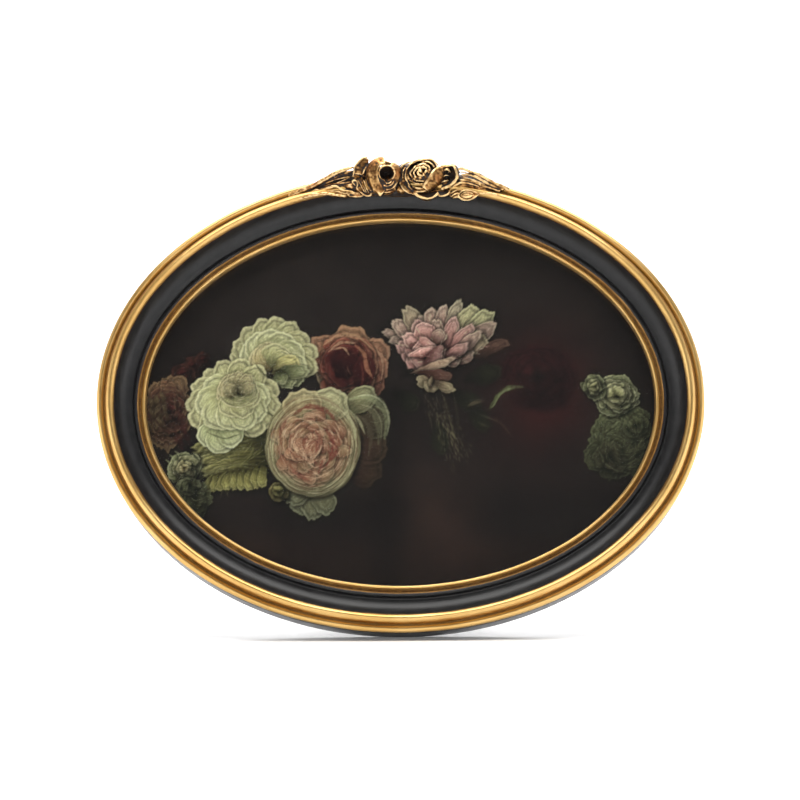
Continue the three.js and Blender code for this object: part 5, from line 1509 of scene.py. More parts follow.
def paint():
    pt = Painting()
    X, Y = np.meshgrid(pt.x, pt.y)
    n1 = noise2(X * 0.035, Y * 0.05, 1) * 0.6 + noise2(X * 0.11, Y * 0.14, 2) * 0.4
    n2 = noise2(X * 0.9, Y * 0.35, 3) * 0.5 + noise2(X * 2.3, Y * 2.3, 4) * 0.5
    base = np.array([27.0, 22.0, 20.0])
    up = sm(-10, 55, Y)
    c = base[None, None] * (1 + 0.14 * n1 + 0.07 * n2)[..., None] + np.array([6, 6, 5.5]) * (up * (0.7 + 0.5 * n1))[..., None]
    haze = np.exp(-(((X - 14) / 15) ** 2 + ((Y + 40 + 0.35 * (X - 14)) / 15) ** 2))
    c = c + np.array([22, 14, 11]) * (haze * (1 + 0.5 * n1))[..., None]
    redglow = np.exp(-(((X - 48) / 17) ** 2 + ((Y - 4) / 19) ** 2))
    c = c + np.array([17, -4, -3]) * (redglow * (1 + 0.4 * n1))[..., None]
    table = sm(-40, -52, Y + 0.03 * X + 1.5 * n1)
    c = c + np.array([9, 4, 2]) * table[..., None]
    pt.c[:] = c / 255

    cream = [(76, 76, 50), (144, 143, 100), (180, 177, 134), (206, 201, 160)]
    warm = [(86, 76, 50), (154, 142, 100), (184, 174, 132), (204, 196, 156)]
    sage = [(40, 43, 28), (96, 100, 68), (146, 148, 110), (182, 184, 146)]
    olive = [(52, 50, 26), (112, 108, 62), (148, 144, 88), (178, 173, 116)]
    blush = [(92, 66, 46), (138, 112, 82), (168, 146, 112), (188, 170, 136)]
    peach = [(98, 58, 44), (144, 106, 80), (172, 138, 108), (188, 162, 130)]
    rimgreen = [(78, 72, 48), (130, 122, 88), (160, 152, 114), (182, 176, 138)]
    mauve = [(42, 24, 19), (98, 66, 50), (138, 104, 80), (160, 132, 104)]
    winey = [(30, 8, 9), (62, 24, 22), (88, 42, 36), (118, 74, 60)]
    pink = [(64, 44, 38), (132, 106, 94), (170, 148, 130), (188, 178, 150)]
    rosy = [(86, 52, 48), (160, 120, 110), (186, 150, 138), (198, 172, 156)]
    brown = [(34, 21, 17), (80, 58, 44), (116, 92, 66), (138, 120, 86)]
    winered = [(28, 19, 18), (40, 19, 19), (48, 22, 22), (50, 25, 24)]
    moss = [(26, 27, 17), (62, 64, 42), (94, 98, 68), (126, 132, 98)]

    def to(bx, by, tx, ty, W, cols, **k):
        pt.petal(bx, by, math.atan2(ty - by, tx - bx), math.hypot(tx - bx, ty - by), W, cols, **k)

    def touches(cx, cy, rx, ry, n, lite, dark, seed, round_=1.0, long=(1.0, 3.0), wd=(0.08, 0.17), mix=0.55):
        """Fine lines that go round the flower, light and dark."""
        rng = np.random.RandomState(seed)
        for k in range(n):
            a, q = rng.uniform(0, 6.28), rng.rand() ** 0.5
            x, y = cx + rx * q * math.cos(a), cy + ry * q * math.sin(a)
            q = q * 0.86
            x, y = cx + rx * q * math.cos(a), cy + ry * q * math.sin(a)
            t = math.atan2((y - cy) * rx / ry, x - cx) + math.pi / 2 * round_ + rng.uniform(-0.5, 0.5)
            L = rng.uniform(*long)
            bowed = rng.uniform(0.0, 0.5) * L * 0.22
            dx, dy = math.cos(t), math.sin(t)
            pts = [(x, y), (x + dx * L * 0.5 + dy * bowed, y + dy * L * 0.5 - dx * bowed), (x + dx * L, y + dy * L)]
            pt.stroke(pts, rng.uniform(*wd), lite if rng.rand() < mix else dark, rng.uniform(0.15, 0.42))

    def ball(cx, cy, rx, ry, inner, outer, seed, steps=7, light=1.0):
        """A close round flower: wide petals wrapped round it, each a long thin rim seen edge-on."""
        rng = np.random.RandomState(seed)
        w = pt.window(cx - rx - 2, cx + rx + 2, cy - ry - 2, cy + ry + 2)
        J, I, X, Y = w
        th = np.arctan2((Y - cy) / ry, (X - cx) / rx)
        lump = 0.022 * noise1(th * 2.2 + seed, seed) + 0.012 * noise1(th * 6.1, seed + 1)
        e = np.hypot((X - cx) / rx, (Y - cy) / ry) / (1 + lump)
        sh = np.clip(1 - (np.hypot((X - cx - 0.5) / rx, (Y - cy + 0.8) / ry) - 0.96) / 0.07, 0, 1) * 0.6
        pt.c[J, I] *= (1 - sh)[..., None]
        a = 1 - sm(0.99, 1.006, e)
        A, B, C = [np.array(c, float) / 255 for c in inner]
        D, E, F = [np.array(c, float) / 255 for c in outer]
        # the wrapped rims: each starts somewhere round the flower and slides inward as it goes round
        k = e * steps * 1.9 + 0.85 * np.sin(th + 0.6) + 0.45 * np.sin(2 * th + 2.0) + 0.5 * noise2(X * 0.10, Y * 0.10, seed + 2)
        f = k - np.floor(k)
        up = np.clip(0.5 + 0.34 * np.sin(th) - 0.18 * np.cos(th), 0, 1)
        fold = sm(0.0, 0.5, f) * 0.55 + sm(0.5, 1.0, f) * 0.45
        inn = A + (B - A) * fold[..., None]
        inn = inn + (C - inn) * (sm(0.70, 0.96, f) * 0.8)[..., None]
        out = D + (E - D) * fold[..., None]
        out = out + (F - out) * (sm(0.72, 0.96, f) * 0.9)[..., None]
        col = inn + (out - inn) * sm(0.66, 0.86, e + 0.06 * noise2(X * 0.25, Y * 0.25, seed + 3))[..., None]
        line = np.exp(-((f - 0.02) / 0.06) ** 2) + np.exp(-((f - 1.0) / 0.03) ** 2)
        fib = noise2(th * 9.0 + 3, e * 4.0, seed + 4) * 0.5 + noise2(X * 2.0, Y * 2.0, seed + 5) * 0.5
        g = (0.80 + 0.30 * up) * (1 - 0.38 * np.clip(line, 0, 1)) * (1 + 0.09 * fib) * light
        g = g * (1 - 0.35 * sm(0.955, 1.0, e) * (1 - up))
        col = col * g[..., None]
        pt.c[J, I] = pt.c[J, I] * (1 - a)[..., None] + np.clip(col, 0, 1) * a[..., None]

    # the red rose lost in the dark, and dull leaves behind the bunch
    pt.rose(47, 9, 13, 11, winered, winered, [(1.0, 6, 1.0), (0.72, 5, 1.0), (0.45, 4, 1.0)], 31, rim=0.3, light=0.8, shadow=0.3)
    for a, b, L, W, g in [(22, 8, 13, 3.6, 0.3), (17, 4, 12, 3.4, -0.5), (24, 0, 11, 3.2, -1.1), (12, -6, 12, 3.0, -1.4), (-2, 4, 10, 3, -0.6)]:
        pt.petal(a, b, g, L, W, [(16, 15, 11), (25, 26, 18), (34, 34, 24), (42, 40, 30)], rim=0.25, shadow=0.2)

    # left: a brown-pink ragged flower going up into dark red buds
    for x, y, r, sd, li in [(-70.5, 13.5, 3.4, 13, 0.8), (-74.5, 10.5, 3.8, 14, 0.72), (-67.5, 15.5, 2.6, 15, 0.7)]:
        pt.rose(x, y, r, r, [(24, 12, 11), (66, 34, 28), (92, 54, 42), (112, 74, 56)], winey, [(1.0, 6, 1.0), (0.66, 5, 1.0), (0.36, 3, 1.0)], sd, rim=0.5, wave=0.14, light=li, shadow=0.4)
    pt.rose(-79.6, -2.5, 7.6, 12.5, brown, winey, [(1.0, 8, 1.15), (0.8, 7, 1.1), (0.6, 6, 1.1), (0.4, 5, 1.0), (0.22, 4, 1.0)], 11, rim=0.6, wave=0.15, light=0.88)
    for k in range(14):
        x, y = -84.5 + 1.3 * (k % 5), -10 + 1.5 * (k // 2) + 0.8 * (k % 3)
        to(x, y, x - 2.0 + 0.9 * (k % 3), y + 4.4, 0.95, [(44, 34, 22), (88, 74, 50), (118, 102, 72), (136, 122, 88)], rim=0.6, shadow=0.2, wave=0.2, light=0.8, keep=0.85)
    touches(-79, -3, 7.4, 12.4, 260, (136, 116, 86), (40, 20, 17), 111, 0.8, wd=(0.1, 0.26))
    for x, y, L in [(-76, -1, 9), (-75, -6, 8), (-77, -9, 7)]:
        pt.stroke([(x, y), (x + 1.6, y - L * 0.5), (x + 3.0, y - L)], 1.3, (52, 22, 20), 0.55, rag=0.9)

    # the mauve rose: wrapped brown petals over a dark red hollow
    to(-18, 8, -27.5, 24.0, 7.5, mauve, rim=0.55, bend=0.12)
    to(-17, 8, -17.5, 27.4, 8.4, [(60, 34, 26), (112, 80, 60), (146, 112, 84), (166, 138, 106)], rim=0.6)
    to(-17, 9, -6.5, 22.5, 6.6, mauve, rim=0.65, bend=-0.1)
    to(-18, 10, -4.6, 13.5, 7.4, [(44, 24, 20), (92, 56, 44), (126, 90, 70), (156, 128, 100)], rim=0.75, bend=0.05)
    to(-17, 12, -6.2, 4.4, 5.6, [(40, 18, 16), (82, 46, 38), (112, 76, 60), (136, 104, 82)], rim=0.65)
    to(-18, 12, -15, 1.5, 6.4, [(30, 10, 10), (64, 28, 26), (88, 48, 40), (112, 76, 60)], rim=0.4)
    to(-19, 11, -28.5, 8.5, 6.0, [(40, 30, 20), (86, 72, 54), (120, 104, 80), (136, 124, 96)], rim=0.4, light=0.85)
    pt.rose(-18.6, 14.2, 9.4, 9.4, [(66, 28, 22), (116, 66, 50), (150, 104, 80), (170, 132, 104)], winey, [(1.0, 5, 1.3), (0.86, 5, 1.25), (0.7, 4, 1.25)], 22, lean=(0.8, -2.0), rim=0.6, wave=0.09, light=0.9)
    pt.petal(-21.5, 9.5, 1.1, 10.5, 5.4, [(24, 8, 9), (40, 12, 13), (54, 20, 19), (66, 32, 27)], rim=0.2, shadow=0.4, light=0.9)
    pt.petal(-14.5, 5.0, 1.25, 12.0, 4.2, [(28, 9, 10), (46, 15, 15), (62, 25, 23), (76, 36, 31)], rim=0.2, shadow=0.3, light=0.9)
    for line, wd, col, al in [([(-26.5, 20.5), (-21, 24), (-14.5, 23.4), (-9.5, 19)], 0.7, (166, 134, 100), 0.75), ([(-24.5, 18.2), (-20.5, 21.4), (-15.5, 21.2)], 0.5, (172, 142, 110), 0.8),
                              ([(-15.5, 20.6), (-12.5, 17.5), (-11.5, 12.5), (-9.5, 9.0)], 0.9, (158, 112, 82), 0.75), ([(-8.4, 20), (-6.0, 14), (-6.6, 8)], 0.35, (160, 132, 104), 0.7),
                              ([(-23, 19), (-19.5, 19.6), (-17.5, 17)], 0.35, (180, 150, 116), 0.8), ([(-11.6, 18), (-9.2, 12.4), (-10.6, 6.0)], 0.35, (60, 24, 22), 0.7), ([(-13.4, 14), (-12.8, 9), (-14, 4)], 0.4, (112, 58, 46), 0.5)]:
        pt.stroke(line, wd, col, al, rag=0.7)
    touches(-16.5, 14, 11.5, 12, 110, (160, 126, 98), (46, 18, 17), 121, 1.0)

    # cream mass, upper flower: broad ruffled lobes
    for x, y, W in [(-58.5, 17, 5.4), (-56.5, 22.5, 5.4), (-52, 27.6, 5.2), (-46.5, 30.2, 4.8), (-40.5, 30.0, 5.0), (-35, 27.4, 5.2), (-30.6, 22.6, 5.2), (-28.0, 16.6, 5.0), (-28.4, 10.4, 4.8)]:
        to(-44.5, 15.5, x, y, W, cream, rim=0.6, shadow=0.27, wave=0.045, light=0.94, bend=0.1)
    for x, y, W in [(-55, 18.5, 5.6), (-51, 24.2, 5.6), (-44.8, 26.4, 5.8), (-38.4, 24.6, 5.6), (-33.6, 19.6, 5.4), (-32.2, 13.0, 5.0)]:
        to(-44.0, 14.5, x, y, W, [(96, 96, 66), (156, 156, 114), (184, 184, 142), (204, 202, 164)], rim=0.75, shadow=0.25, wave=0.04)
    for x, y, W, cc in [(-51.5, 17.5, 5.0, warm), (-47.5, 21.4, 5.4, warm), (-41.0, 20.8, 5.4, cream), (-37.2, 16.5, 4.8, cream)]:
        to(-43.6, 12.6, x, y, W, cc, rim=0.7, shadow=0.2, wave=0.035, light=1.0)
    to(-43.8, 10.6, -34.6, 15.4, 4.2, [(70, 66, 42), (152, 146, 96), (190, 182, 124), (206, 198, 146)], rim=0.7, shadow=0.35)
    for x, y, W in [(-33.0, 8.0, 3.0), (-36.8, 6.4, 3.0), (-31.2, 11.4, 2.6), (-40.5, 7.0, 3.0)]:
        to(-42.0, 11.5, x, y, W, sage, rim=0.7, shadow=0.4, wave=0.12)
    pt.stroke([(-49.5, 19.8), (-44.0, 22.6), (-37.5, 21.4), (-34.6, 18.0)], 1.0, (108, 110, 78), 0.5, rag=0.6)
    touches(-44, 18, 15, 10.5, 150, (206, 206, 168), (94, 96, 66), 141, 1.0, mix=0.6)

    # the skirt: long layered olive petals
    for k in range(16):
        f = k / 15
        y0 = -13.5 - 12.5 * f
        x1 = -69.0 + 4.2 * f + 1.1 * math.sin(5 * k)
        to(-46.0 + 1.2 * math.sin(3 * k), y0 + 4.0 - 2.0 * f, x1, y0 - 3.2 + 1.2 * f, 2.6, olive if k % 3 else [(64, 62, 36), (122, 120, 74), (158, 154, 100), (186, 182, 128)],
           rim=0.7, shadow=0.5, wave=0.1, bend=-0.08, light=0.92)
    for k in range(9):
        f = k / 8
        to(-64 + 17 * f, -24 + 3.0 * f, -66.5 + 19.5 * f, -31.5 + 3.6 * f + 0.8 * math.sin(7 * k), 1.9, olive, rim=0.7, shadow=0.5, wave=0.14)
    touches(-57, -21, 11, 8, 150, (188, 184, 116), (64, 62, 28), 143, 0.15, long=(2.0, 6.0))

    # the big cream bloom in front of it
    for x, y, W in [(-66.5, 12.2, 5.4), (-71.0, 7.2, 5.6), (-73.4, 0.8, 5.8), (-72.4, -5.4, 5.6), (-68.6, -10.6, 5.4), (-62.0, -12.6, 5.2), (-41.2, 4.6, 5.2), (-41.0, -1.8, 5.0), (-43.4, -7.6, 5.0), (-48.6, -11.2, 5.0),
                    (-60.8, 15.4, 5.0), (-53.6, 16.2, 4.8), (-46.6, 12.6, 4.8)]:
        to(-56.5, 1.5, x, y, W, cream, rim=0.62, shadow=0.3, wave=0.04, light=0.97, bend=0.05)
    for x, y, W in [(-68.0, -13.8, 4.8), (-62.4, -17.0, 5.2), (-56.2, -14.6, 4.6)]:
        to(-60.5, -6.0, x, y, W, [(84, 88, 60), (150, 154, 112), (182, 184, 144), (202, 204, 166)], rim=0.85, shadow=0.42, wave=0.035)
    for x, y, W in [(-67.8, 6.2, 6.2), (-70.0, -1.0, 6.4), (-66.4, -7.2, 6.2), (-59.6, -8.8, 5.4), (-44.6, 2.2, 5.2), (-46.8, -5.4, 5.0), (-52.4, -9.0, 4.8)]:
        to(-56.0, 3.0, x, y, W, [(98, 98, 66), (158, 158, 114), (186, 186, 144), (204, 202, 162)], rim=0.75, shadow=0.24, wave=0.035, light=1.0)
    for x, y, W, cc in [(-62.4, 2.0, 4.6, warm), (-60.0, -4.0, 4.8, cream), (-52.6, -4.4, 4.6, cream), (-48.0, 1.0, 4.4, cream), (-62.0, 8.0, 4.4, warm), (-49.0, 7.2, 4.4, cream)]:
        to(-55.6, 4.4, x, y, W, cc, rim=0.7, shadow=0.2, wave=0.04)
    for k, (x, y, W) in enumerate([(-59.8, 9.6, 2.6), (-57.2, 11.2, 2.6), (-54.2, 11.4, 2.6), (-51.2, 10.2, 2.6), (-60.6, 6.0, 2.4), (-50.0, 6.4, 2.4)]):
        to(-55.4, 4.6, x, y, W, [(70, 66, 46), (128, 120, 88), (164, 156, 118), (186, 178, 140)], rim=0.7, shadow=0.3, wave=0.12)
    rng = np.random.RandomState(146)
    for k in range(60):
        a = rng.uniform(0.2, 6.1)
        r = rng.uniform(0.8, 6.4)
        b = np.linspace(a, a + rng.uniform(0.5, 1.3), 5)
        pt.stroke([(-55.4 + r * math.cos(t) * 1.1, 4.6 + r * math.sin(t) * 0.9) for t in b], rng.uniform(0.12, 0.26), (84, 82, 60) if rng.rand() < 0.5 else (196, 188, 150), rng.uniform(0.3, 0.7))
    touches(-57, 0, 14.5, 12.5, 190, (208, 208, 172), (94, 98, 68), 145, 1.0, mix=0.6)
    for line in [[(-66, -9.6), (-60, -11.8), (-55, -10.4)], [(-66.5, -16.2), (-61, -18.4), (-56, -16.0)], [(-54, -8), (-49.5, -12.6), (-43, -9)], [(-47, -2), (-42.5, -5), (-40.5, -9)], [(-50, 14.6), (-46, 10), (-41, 8.6)]]:
        pt.stroke(line, 0.42, (44, 46, 30), 0.6, rag=0.7)

    # small green blossoms at the lower left
    pt.rose(-73.6, -22, 5.0, 5.4, sage, warm, [(1.0, 6, 1.2), (0.72, 5, 1.1), (0.45, 4, 1.1), (0.25, 3, 1.0)], 51, rim=0.7, wave=0.14, light=0.9)
    pt.rose(-70.0, -33.0, 5.2, 6.6, moss, moss, [(1.0, 7, 1.0), (0.72, 6, 1.0), (0.45, 5, 1.0)], 52, rim=0.5, wave=0.16, light=0.8, shadow=0.4)
    pt.rose(-71.8, -28, 3.8, 3.0, sage, moss, [(1.0, 6, 1.0), (0.6, 5, 1.0)], 53, rim=0.55, wave=0.14, light=0.7)
    touches(-71, -27, 6, 10, 220, (138, 140, 106), (32, 34, 24), 151, 0.7, wd=(0.1, 0.24))
    for x, y in [(-78.6, -17.4), (-77, -16), (-80, -19)]:
        pt.stroke([(x, y), (x + 1.2, y - 1.0), (x + 1.6, y - 2.4)], 0.3, (134, 138, 104), 0.8)

    # outer petals of the blush rose, at its right and below
    to(-20, -22, -6.5, -24, 6.0, brown, rim=0.5, shadow=0.3, light=0.55)
    to(-19, -14, -4.5, -16, 6.0, brown, rim=0.5, shadow=0.3, light=0.66)
    to(-18, -9, -4.0, -4.0, 6.2, [(30, 26, 18), (62, 54, 40), (104, 100, 72), (150, 150, 112)], rim=0.95, shadow=0.4, light=0.95, wave=0.1)
    to(-20, -3, -8.5, 4.6, 4.8, [(58, 56, 38), (116, 114, 82), (148, 148, 110), (172, 172, 134)], rim=0.85, light=0.95)
    for x, y, W in [(-36.0, -37.6, 4.6), (-30.0, -40.2, 4.8), (-24.0, -38.2, 4.4), (-38.6, -33.8, 4.0)]:
        to(-29, -26, x, y, W, [(66, 60, 42), (120, 118, 86), (152, 154, 118), (176, 178, 142)], rim=0.7, shadow=0.5, light=0.92, wave=0.1)
    pt.rose(-41.6, -30.2, 3.5, 3.1, [(50, 44, 24), (112, 102, 58), (156, 146, 92), (180, 172, 118)], olive, [(1.0, 5, 1.2), (0.6, 4, 1.0)], 54, rim=0.6, light=0.92)

    for line, wd, col, al in [([(-17.5, 1.6), (-12.0, 2.4), (-7.0, 0.2), (-4.6, -5.0), (-5.4, -12.0)], 1.5, (142, 146, 108), 0.8),
                              ([(-16.0, 2.4), (-10.5, 3.0), (-6.0, 0.4), (-4.0, -5.5), (-4.6, -11.0)], 0.35, (186, 188, 150), 0.85),
                              ([(-14.5, -1.0), (-10.0, -2.5), (-7.5, -7.0), (-7.6, -14.0)], 1.3, (104, 100, 74), 0.75), ([(-15.4, -3.5), (-11.6, -6.5), (-10.2, -12.0), (-11.0, -18.0)], 1.1, (78, 70, 52), 0.75),
                              ([(-13.6, -0.2), (-9.0, -2.0), (-6.6, -7.0), (-6.8, -13.0)], 0.25, (164, 162, 126), 0.7), ([(-14, -8), (-11.5, -13), (-12.4, -19)], 0.9, (50, 34, 27), 0.8)]:
        pt.stroke(line, wd, col, al, rag=0.6)

    # the big blush rose: thin wrapped rims round a close, swirled heart
    ball(-29.8, -14.0, 16.4, 18.6, [(118, 86, 64), (156, 124, 96), (170, 146, 112)], [(90, 84, 58), (138, 132, 96), (168, 164, 126)], 160)
    to(-30, -7, -21.5, 5.6, 6.8, [(80, 72, 50), (132, 128, 94), (162, 160, 122), (184, 182, 144)], rim=0.8, shadow=0.3, bend=-0.15)
    to(-33, -8, -33.5, 5.0, 7.2, [(84, 72, 50), (136, 126, 92), (162, 152, 114), (182, 174, 136)], rim=0.75, shadow=0.3)
    rng = np.random.RandomState(161)
    for k in range(34):
        q = 1 - k / 34.0
        a = 2.399 * k + 0.4
        r = 10.6 * q ** 0.8
        x, y = -30.6 + r * math.cos(a), -14.4 + r * 1.06 * math.sin(a)
        g = a + rng.uniform(0.6, 1.3)
        cc = peach if rng.rand() < 0.55 else blush
        L = rng.uniform(4.6, 7.2)
        pt.petal(x - 0.5 * L * math.cos(g), y - 0.5 * L * math.sin(g), g, L, rng.uniform(2.6, 4.0), cc, rim=0.55, shadow=0.3, wave=0.05, curl=0.2, light=rng.uniform(0.9, 1.05), bend=rng.uniform(-0.45, 0.45), keep=0.85)
    for k in range(430):  # swirled folds and fine lines
        if rng.rand() < 0.6:
            cx, cy, rm = -30.4, -14.4, 14.2
        else:
            cx, cy, rm = (-33.4, -12.2, 7.5) if rng.rand() < 0.5 else (-26.6, -18.0, 7.0)
        r = rm * rng.rand() ** 0.6
        a0 = rng.uniform(0, 6.28)
        da = rng.uniform(0.5, 1.4) * (5.0 / (r + 3.5))
        a = np.linspace(a0, a0 + da, 6)
        rr = r + rng.uniform(-0.6, 0.6) * (a - a0) / da
        u = rng.rand()
        col = (100, 52, 40) if u < 0.30 else ((202, 174, 142) if u < 0.76 else (86, 52, 40))
        pt.stroke([(cx + p * math.cos(t), cy + 1.05 * p * math.sin(t)) for p, t in zip(rr, a)], rng.uniform(0.1, 0.26), col, rng.uniform(0.3, 0.7))
    for line, wd, al in [([(-36.5, -3.6), (-31.5, -0.8), (-25.0, -2.6), (-22.0, -6.5)], 0.95, 0.55), ([(-26.4, -8), (-23.4, -12), (-23.0, -17.0), (-25.4, -21.5)], 1.25, 0.6), ([(-38.5, -5), (-41.0, -10), (-40.4, -15)], 0.7, 0.4),
                         ([(-31, -26.5), (-35, -24.5), (-38, -21)], 0.8, 0.4), ([(-29, -9), (-27.6, -13), (-29, -17)], 0.8, 0.45), ([(-26.5, -19.5), (-28.0, -24.0)], 0.7, 0.45)]:
        pt.stroke(line, wd, (96, 36, 31), al, rag=0.9)
    for k in range(150):
        a0 = rng.uniform(0, 6.28)
        r = rng.uniform(0.80, 0.97)
        a = np.linspace(a0, a0 + rng.uniform(0.2, 0.6), 6)
        u = rng.rand()
        pt.stroke([(-29.8 + 16.2 * r * math.cos(t), -14.0 + 18.2 * r * math.sin(t)) for t in a], rng.uniform(0.1, 0.22), (196, 190, 152) if u < 0.5 else (84, 60, 44), rng.uniform(0.3, 0.6))
    for line, wd in [([(-19.4, -1.5), (-16.2, -7.0), (-15.4, -12.5)], 1.1), ([(-17.6, -2.0), (-14.2, -6.0), (-12.2, -10.5)], 0.5)]:
        pt.stroke(line, wd, (160, 158, 122), 0.75, rag=0.5)
    pt.stroke([(-17.5, -3.5), (-14.6, -8.5), (-13.4, -14)], 0.5, (40, 30, 22), 0.7)
    touches(-9, -3, 5, 7, 60, (150, 150, 112), (42, 36, 26), 164, 1.0)

    # the pink rose: upright pointed petals over a cup
    for bx, by, tx, ty, W, cc, li in [(9, 21, -6.2, 25.0, 2.5, pink, 0.9), (9, 21, -3.6, 22.0, 2.6, pink, 0.86), (9, 20, -2.4, 28.6, 3.0, pink, 0.95), (10, 19, 2.2, 34.2, 3.4, [(70, 54, 46), (136, 118, 98), (168, 154, 126), (184, 178, 142)], 0.95),
                                      (12, 19, 7.0, 31.0, 3.2, pink, 0.9), (13, 20, 10.6, 34.0, 3.2, pink, 1.0), (15, 20, 14.8, 34.9, 3.2, pink, 1.0), (17, 20, 19.8, 36.2, 2.9, [(60, 50, 42), (126, 114, 96), (164, 154, 128), (184, 178, 146)], 0.98),
                                      (19, 19, 25.2, 34.2, 3.8, [(66, 58, 42), (138, 132, 100), (168, 164, 124), (186, 182, 144)], 1.0), (20, 18, 31.6, 32.4, 3.9, [(60, 52, 38), (128, 124, 94), (160, 158, 118), (180, 180, 140)], 1.0),
                                      (19, 17, 32.8, 27.8, 3.4, pink, 0.92), (18, 16, 29.2, 22.8, 3.6, [(62, 48, 40), (132, 112, 92), (166, 152, 122), (184, 178, 144)], 0.95), (17, 15, 25.0, 18.6, 3.2, pink, 0.88), (14, 15, 20.5, 15.6, 2.8, pink, 0.8)]:
        to(bx, by, tx, ty, W, cc, rim=0.85, shadow=0.65, light=li, wave=0.1)
    for bx, by, tx, ty, W, cc, li in [(12, 18, 4.5, 28.5, 3.0, rosy, 0.92), (13, 18, 12.5, 29.5, 2.8, pink, 0.95), (16, 18, 18.8, 29.8, 2.8, rosy, 0.92), (17, 17, 24.6, 27.4, 2.6, rosy, 0.92), (17, 16, 27.4, 24.6, 2.2, pink, 0.95),
                                      (10, 16, -1.4, 20.4, 3.0, rosy, 0.95), (11, 16, 1.0, 24.2, 3.0, rosy, 1.0), (14, 15, 23.2, 20.8, 2.2, rosy, 0.9)]:
        to(bx, by, tx, ty, W, cc, rim=0.8, shadow=0.6, light=li, wave=0.1)
    to(8.6, 20.0, 8.0, 28.2, 3.8, rosy, rim=0.85, shadow=0.6, light=1.05)
    to(11.5, 20.5, 14.5, 25.8, 2.6, pink, rim=0.8, shadow=0.55)
    pt.petal(3.2, 20.6, -0.5, 11, 4.0, [(84, 56, 50), (150, 116, 104), (180, 146, 132), (192, 164, 148)], rim=0.6, shadow=0.4, light=0.98)
    pt.rose(8.6, 16.0, 6.0, 4.6, rosy, rosy, [(1.0, 4, 1.5), (0.8, 3, 1.4)], 73, rim=0.6, light=0.98, wave=0.06, shadow=0.5)
    to(3.6, 10.6, 19.4, 14.6, 1.5, [(90, 72, 58), (148, 126, 104), (176, 156, 130), (190, 174, 150)], rim=0.8, shadow=0.6, bend=0.1)
    to(6.0, 10.4, 17.6, 9.2, 2.4, [(48, 28, 24), (86, 58, 48), (112, 82, 68), (126, 98, 80)], rim=0.5, shadow=0.4, light=0.85)
    for tx, ty, W in [(5.4, 7.8, 2.0), (8.6, 5.2, 2.6), (13.0, 4.6, 2.6), (18.6, 4.4, 2.0), (9.6, 7.6, 1.8)]:
        to(11.0, 7.4, tx, ty, W, [(60, 50, 38), (122, 108, 84), (158, 146, 114), (178, 168, 132)], rim=0.7, shadow=0.5, light=0.92, wave=0.14)
    to(25.6, 15.6, 35.6, 23.6, 2.3, [(32, 22, 18), (64, 46, 38), (86, 64, 52), (98, 78, 62)], rim=0.5, shadow=0.15, bend=-0.2)
    rng = np.random.RandomState(77)
    for k in range(200):
        x, y = rng.uniform(-4, 31), rng.uniform(12, 34)
        if ((x - 14) / 15) ** 2 + ((y - 22) / 8.5) ** 2 > 1:
            continue
        g = math.atan2(y - 16, x - 12) + rng.uniform(-0.25, 0.25)
        L = rng.uniform(1.0, 2.8)
        col = [(190, 174, 152), (70, 46, 40), (174, 174, 138), (172, 130, 118), (84, 58, 50)][rng.randint(5)]
        pt.stroke([(x, y), (x + L * math.cos(g) * 0.5 + 0.2, y + L * math.sin(g) * 0.5), (x + L * math.cos(g), y + L * math.sin(g))], rng.uniform(0.09, 0.22), col, rng.uniform(0.35, 0.75))

    # stems, tendrils and flecks under it
    for line, wd, col, al in [([(14, 4), (16.5, -4), (19, -15)], 0.5, (66, 64, 44), 0.5), ([(18, 4), (19.5, -6), (19.5, -17)], 0.4, (56, 54, 38), 0.45), ([(9, 3), (12, -5), (14.5, -12)], 0.4, (52, 48, 34), 0.4),
                              ([(30.4, -2.2), (33.4, 2.8), (37, 5.2), (41.6, 5.6)], 0.95, (82, 92, 58), 0.85), ([(31.4, -1.4), (34.6, 3.6), (39, 5.6)], 0.4, (124, 132, 90), 0.75), ([(23, -1.0), (26.4, 0.6), (28.6, 0.8)], 0.7, (104, 94, 72), 0.6),
                              ([(27, -4), (31, -5.5), (33, -6.5)], 0.3, (104, 98, 76), 0.5), ([(32, -5), (35, -8), (38, -12)], 0.35, (74, 62, 48), 0.5), ([(26, -6.5), (30, -8.4)], 0.25, (96, 90, 70), 0.45)]:
        pt.stroke(line, wd, col, al, rag=0.9)
    for k in range(170):
        f = rng.rand()
        x, y = 10.5 + 9 * f + rng.normal(0, 2.2), 1 - 19 * f + rng.normal(0, 2.0)
        g = -1.25 + rng.normal(0, 0.15)
        L = rng.uniform(0.8, 2.6)
        pt.stroke([(x, y), (x + L * math.cos(g), y + L * math.sin(g))], rng.uniform(0.1, 0.24), (122, 118, 86), rng.uniform(0.15, 0.55) * (1 - 0.5 * abs(f - 0.5)))
    for k in range(26):
        x, y = rng.uniform(-78, 78), rng.uniform(-50, 40)
        pt.stroke([(x, y), (x + 0.3, y + 0.1)], 0.14, (96, 88, 78), 0.35)

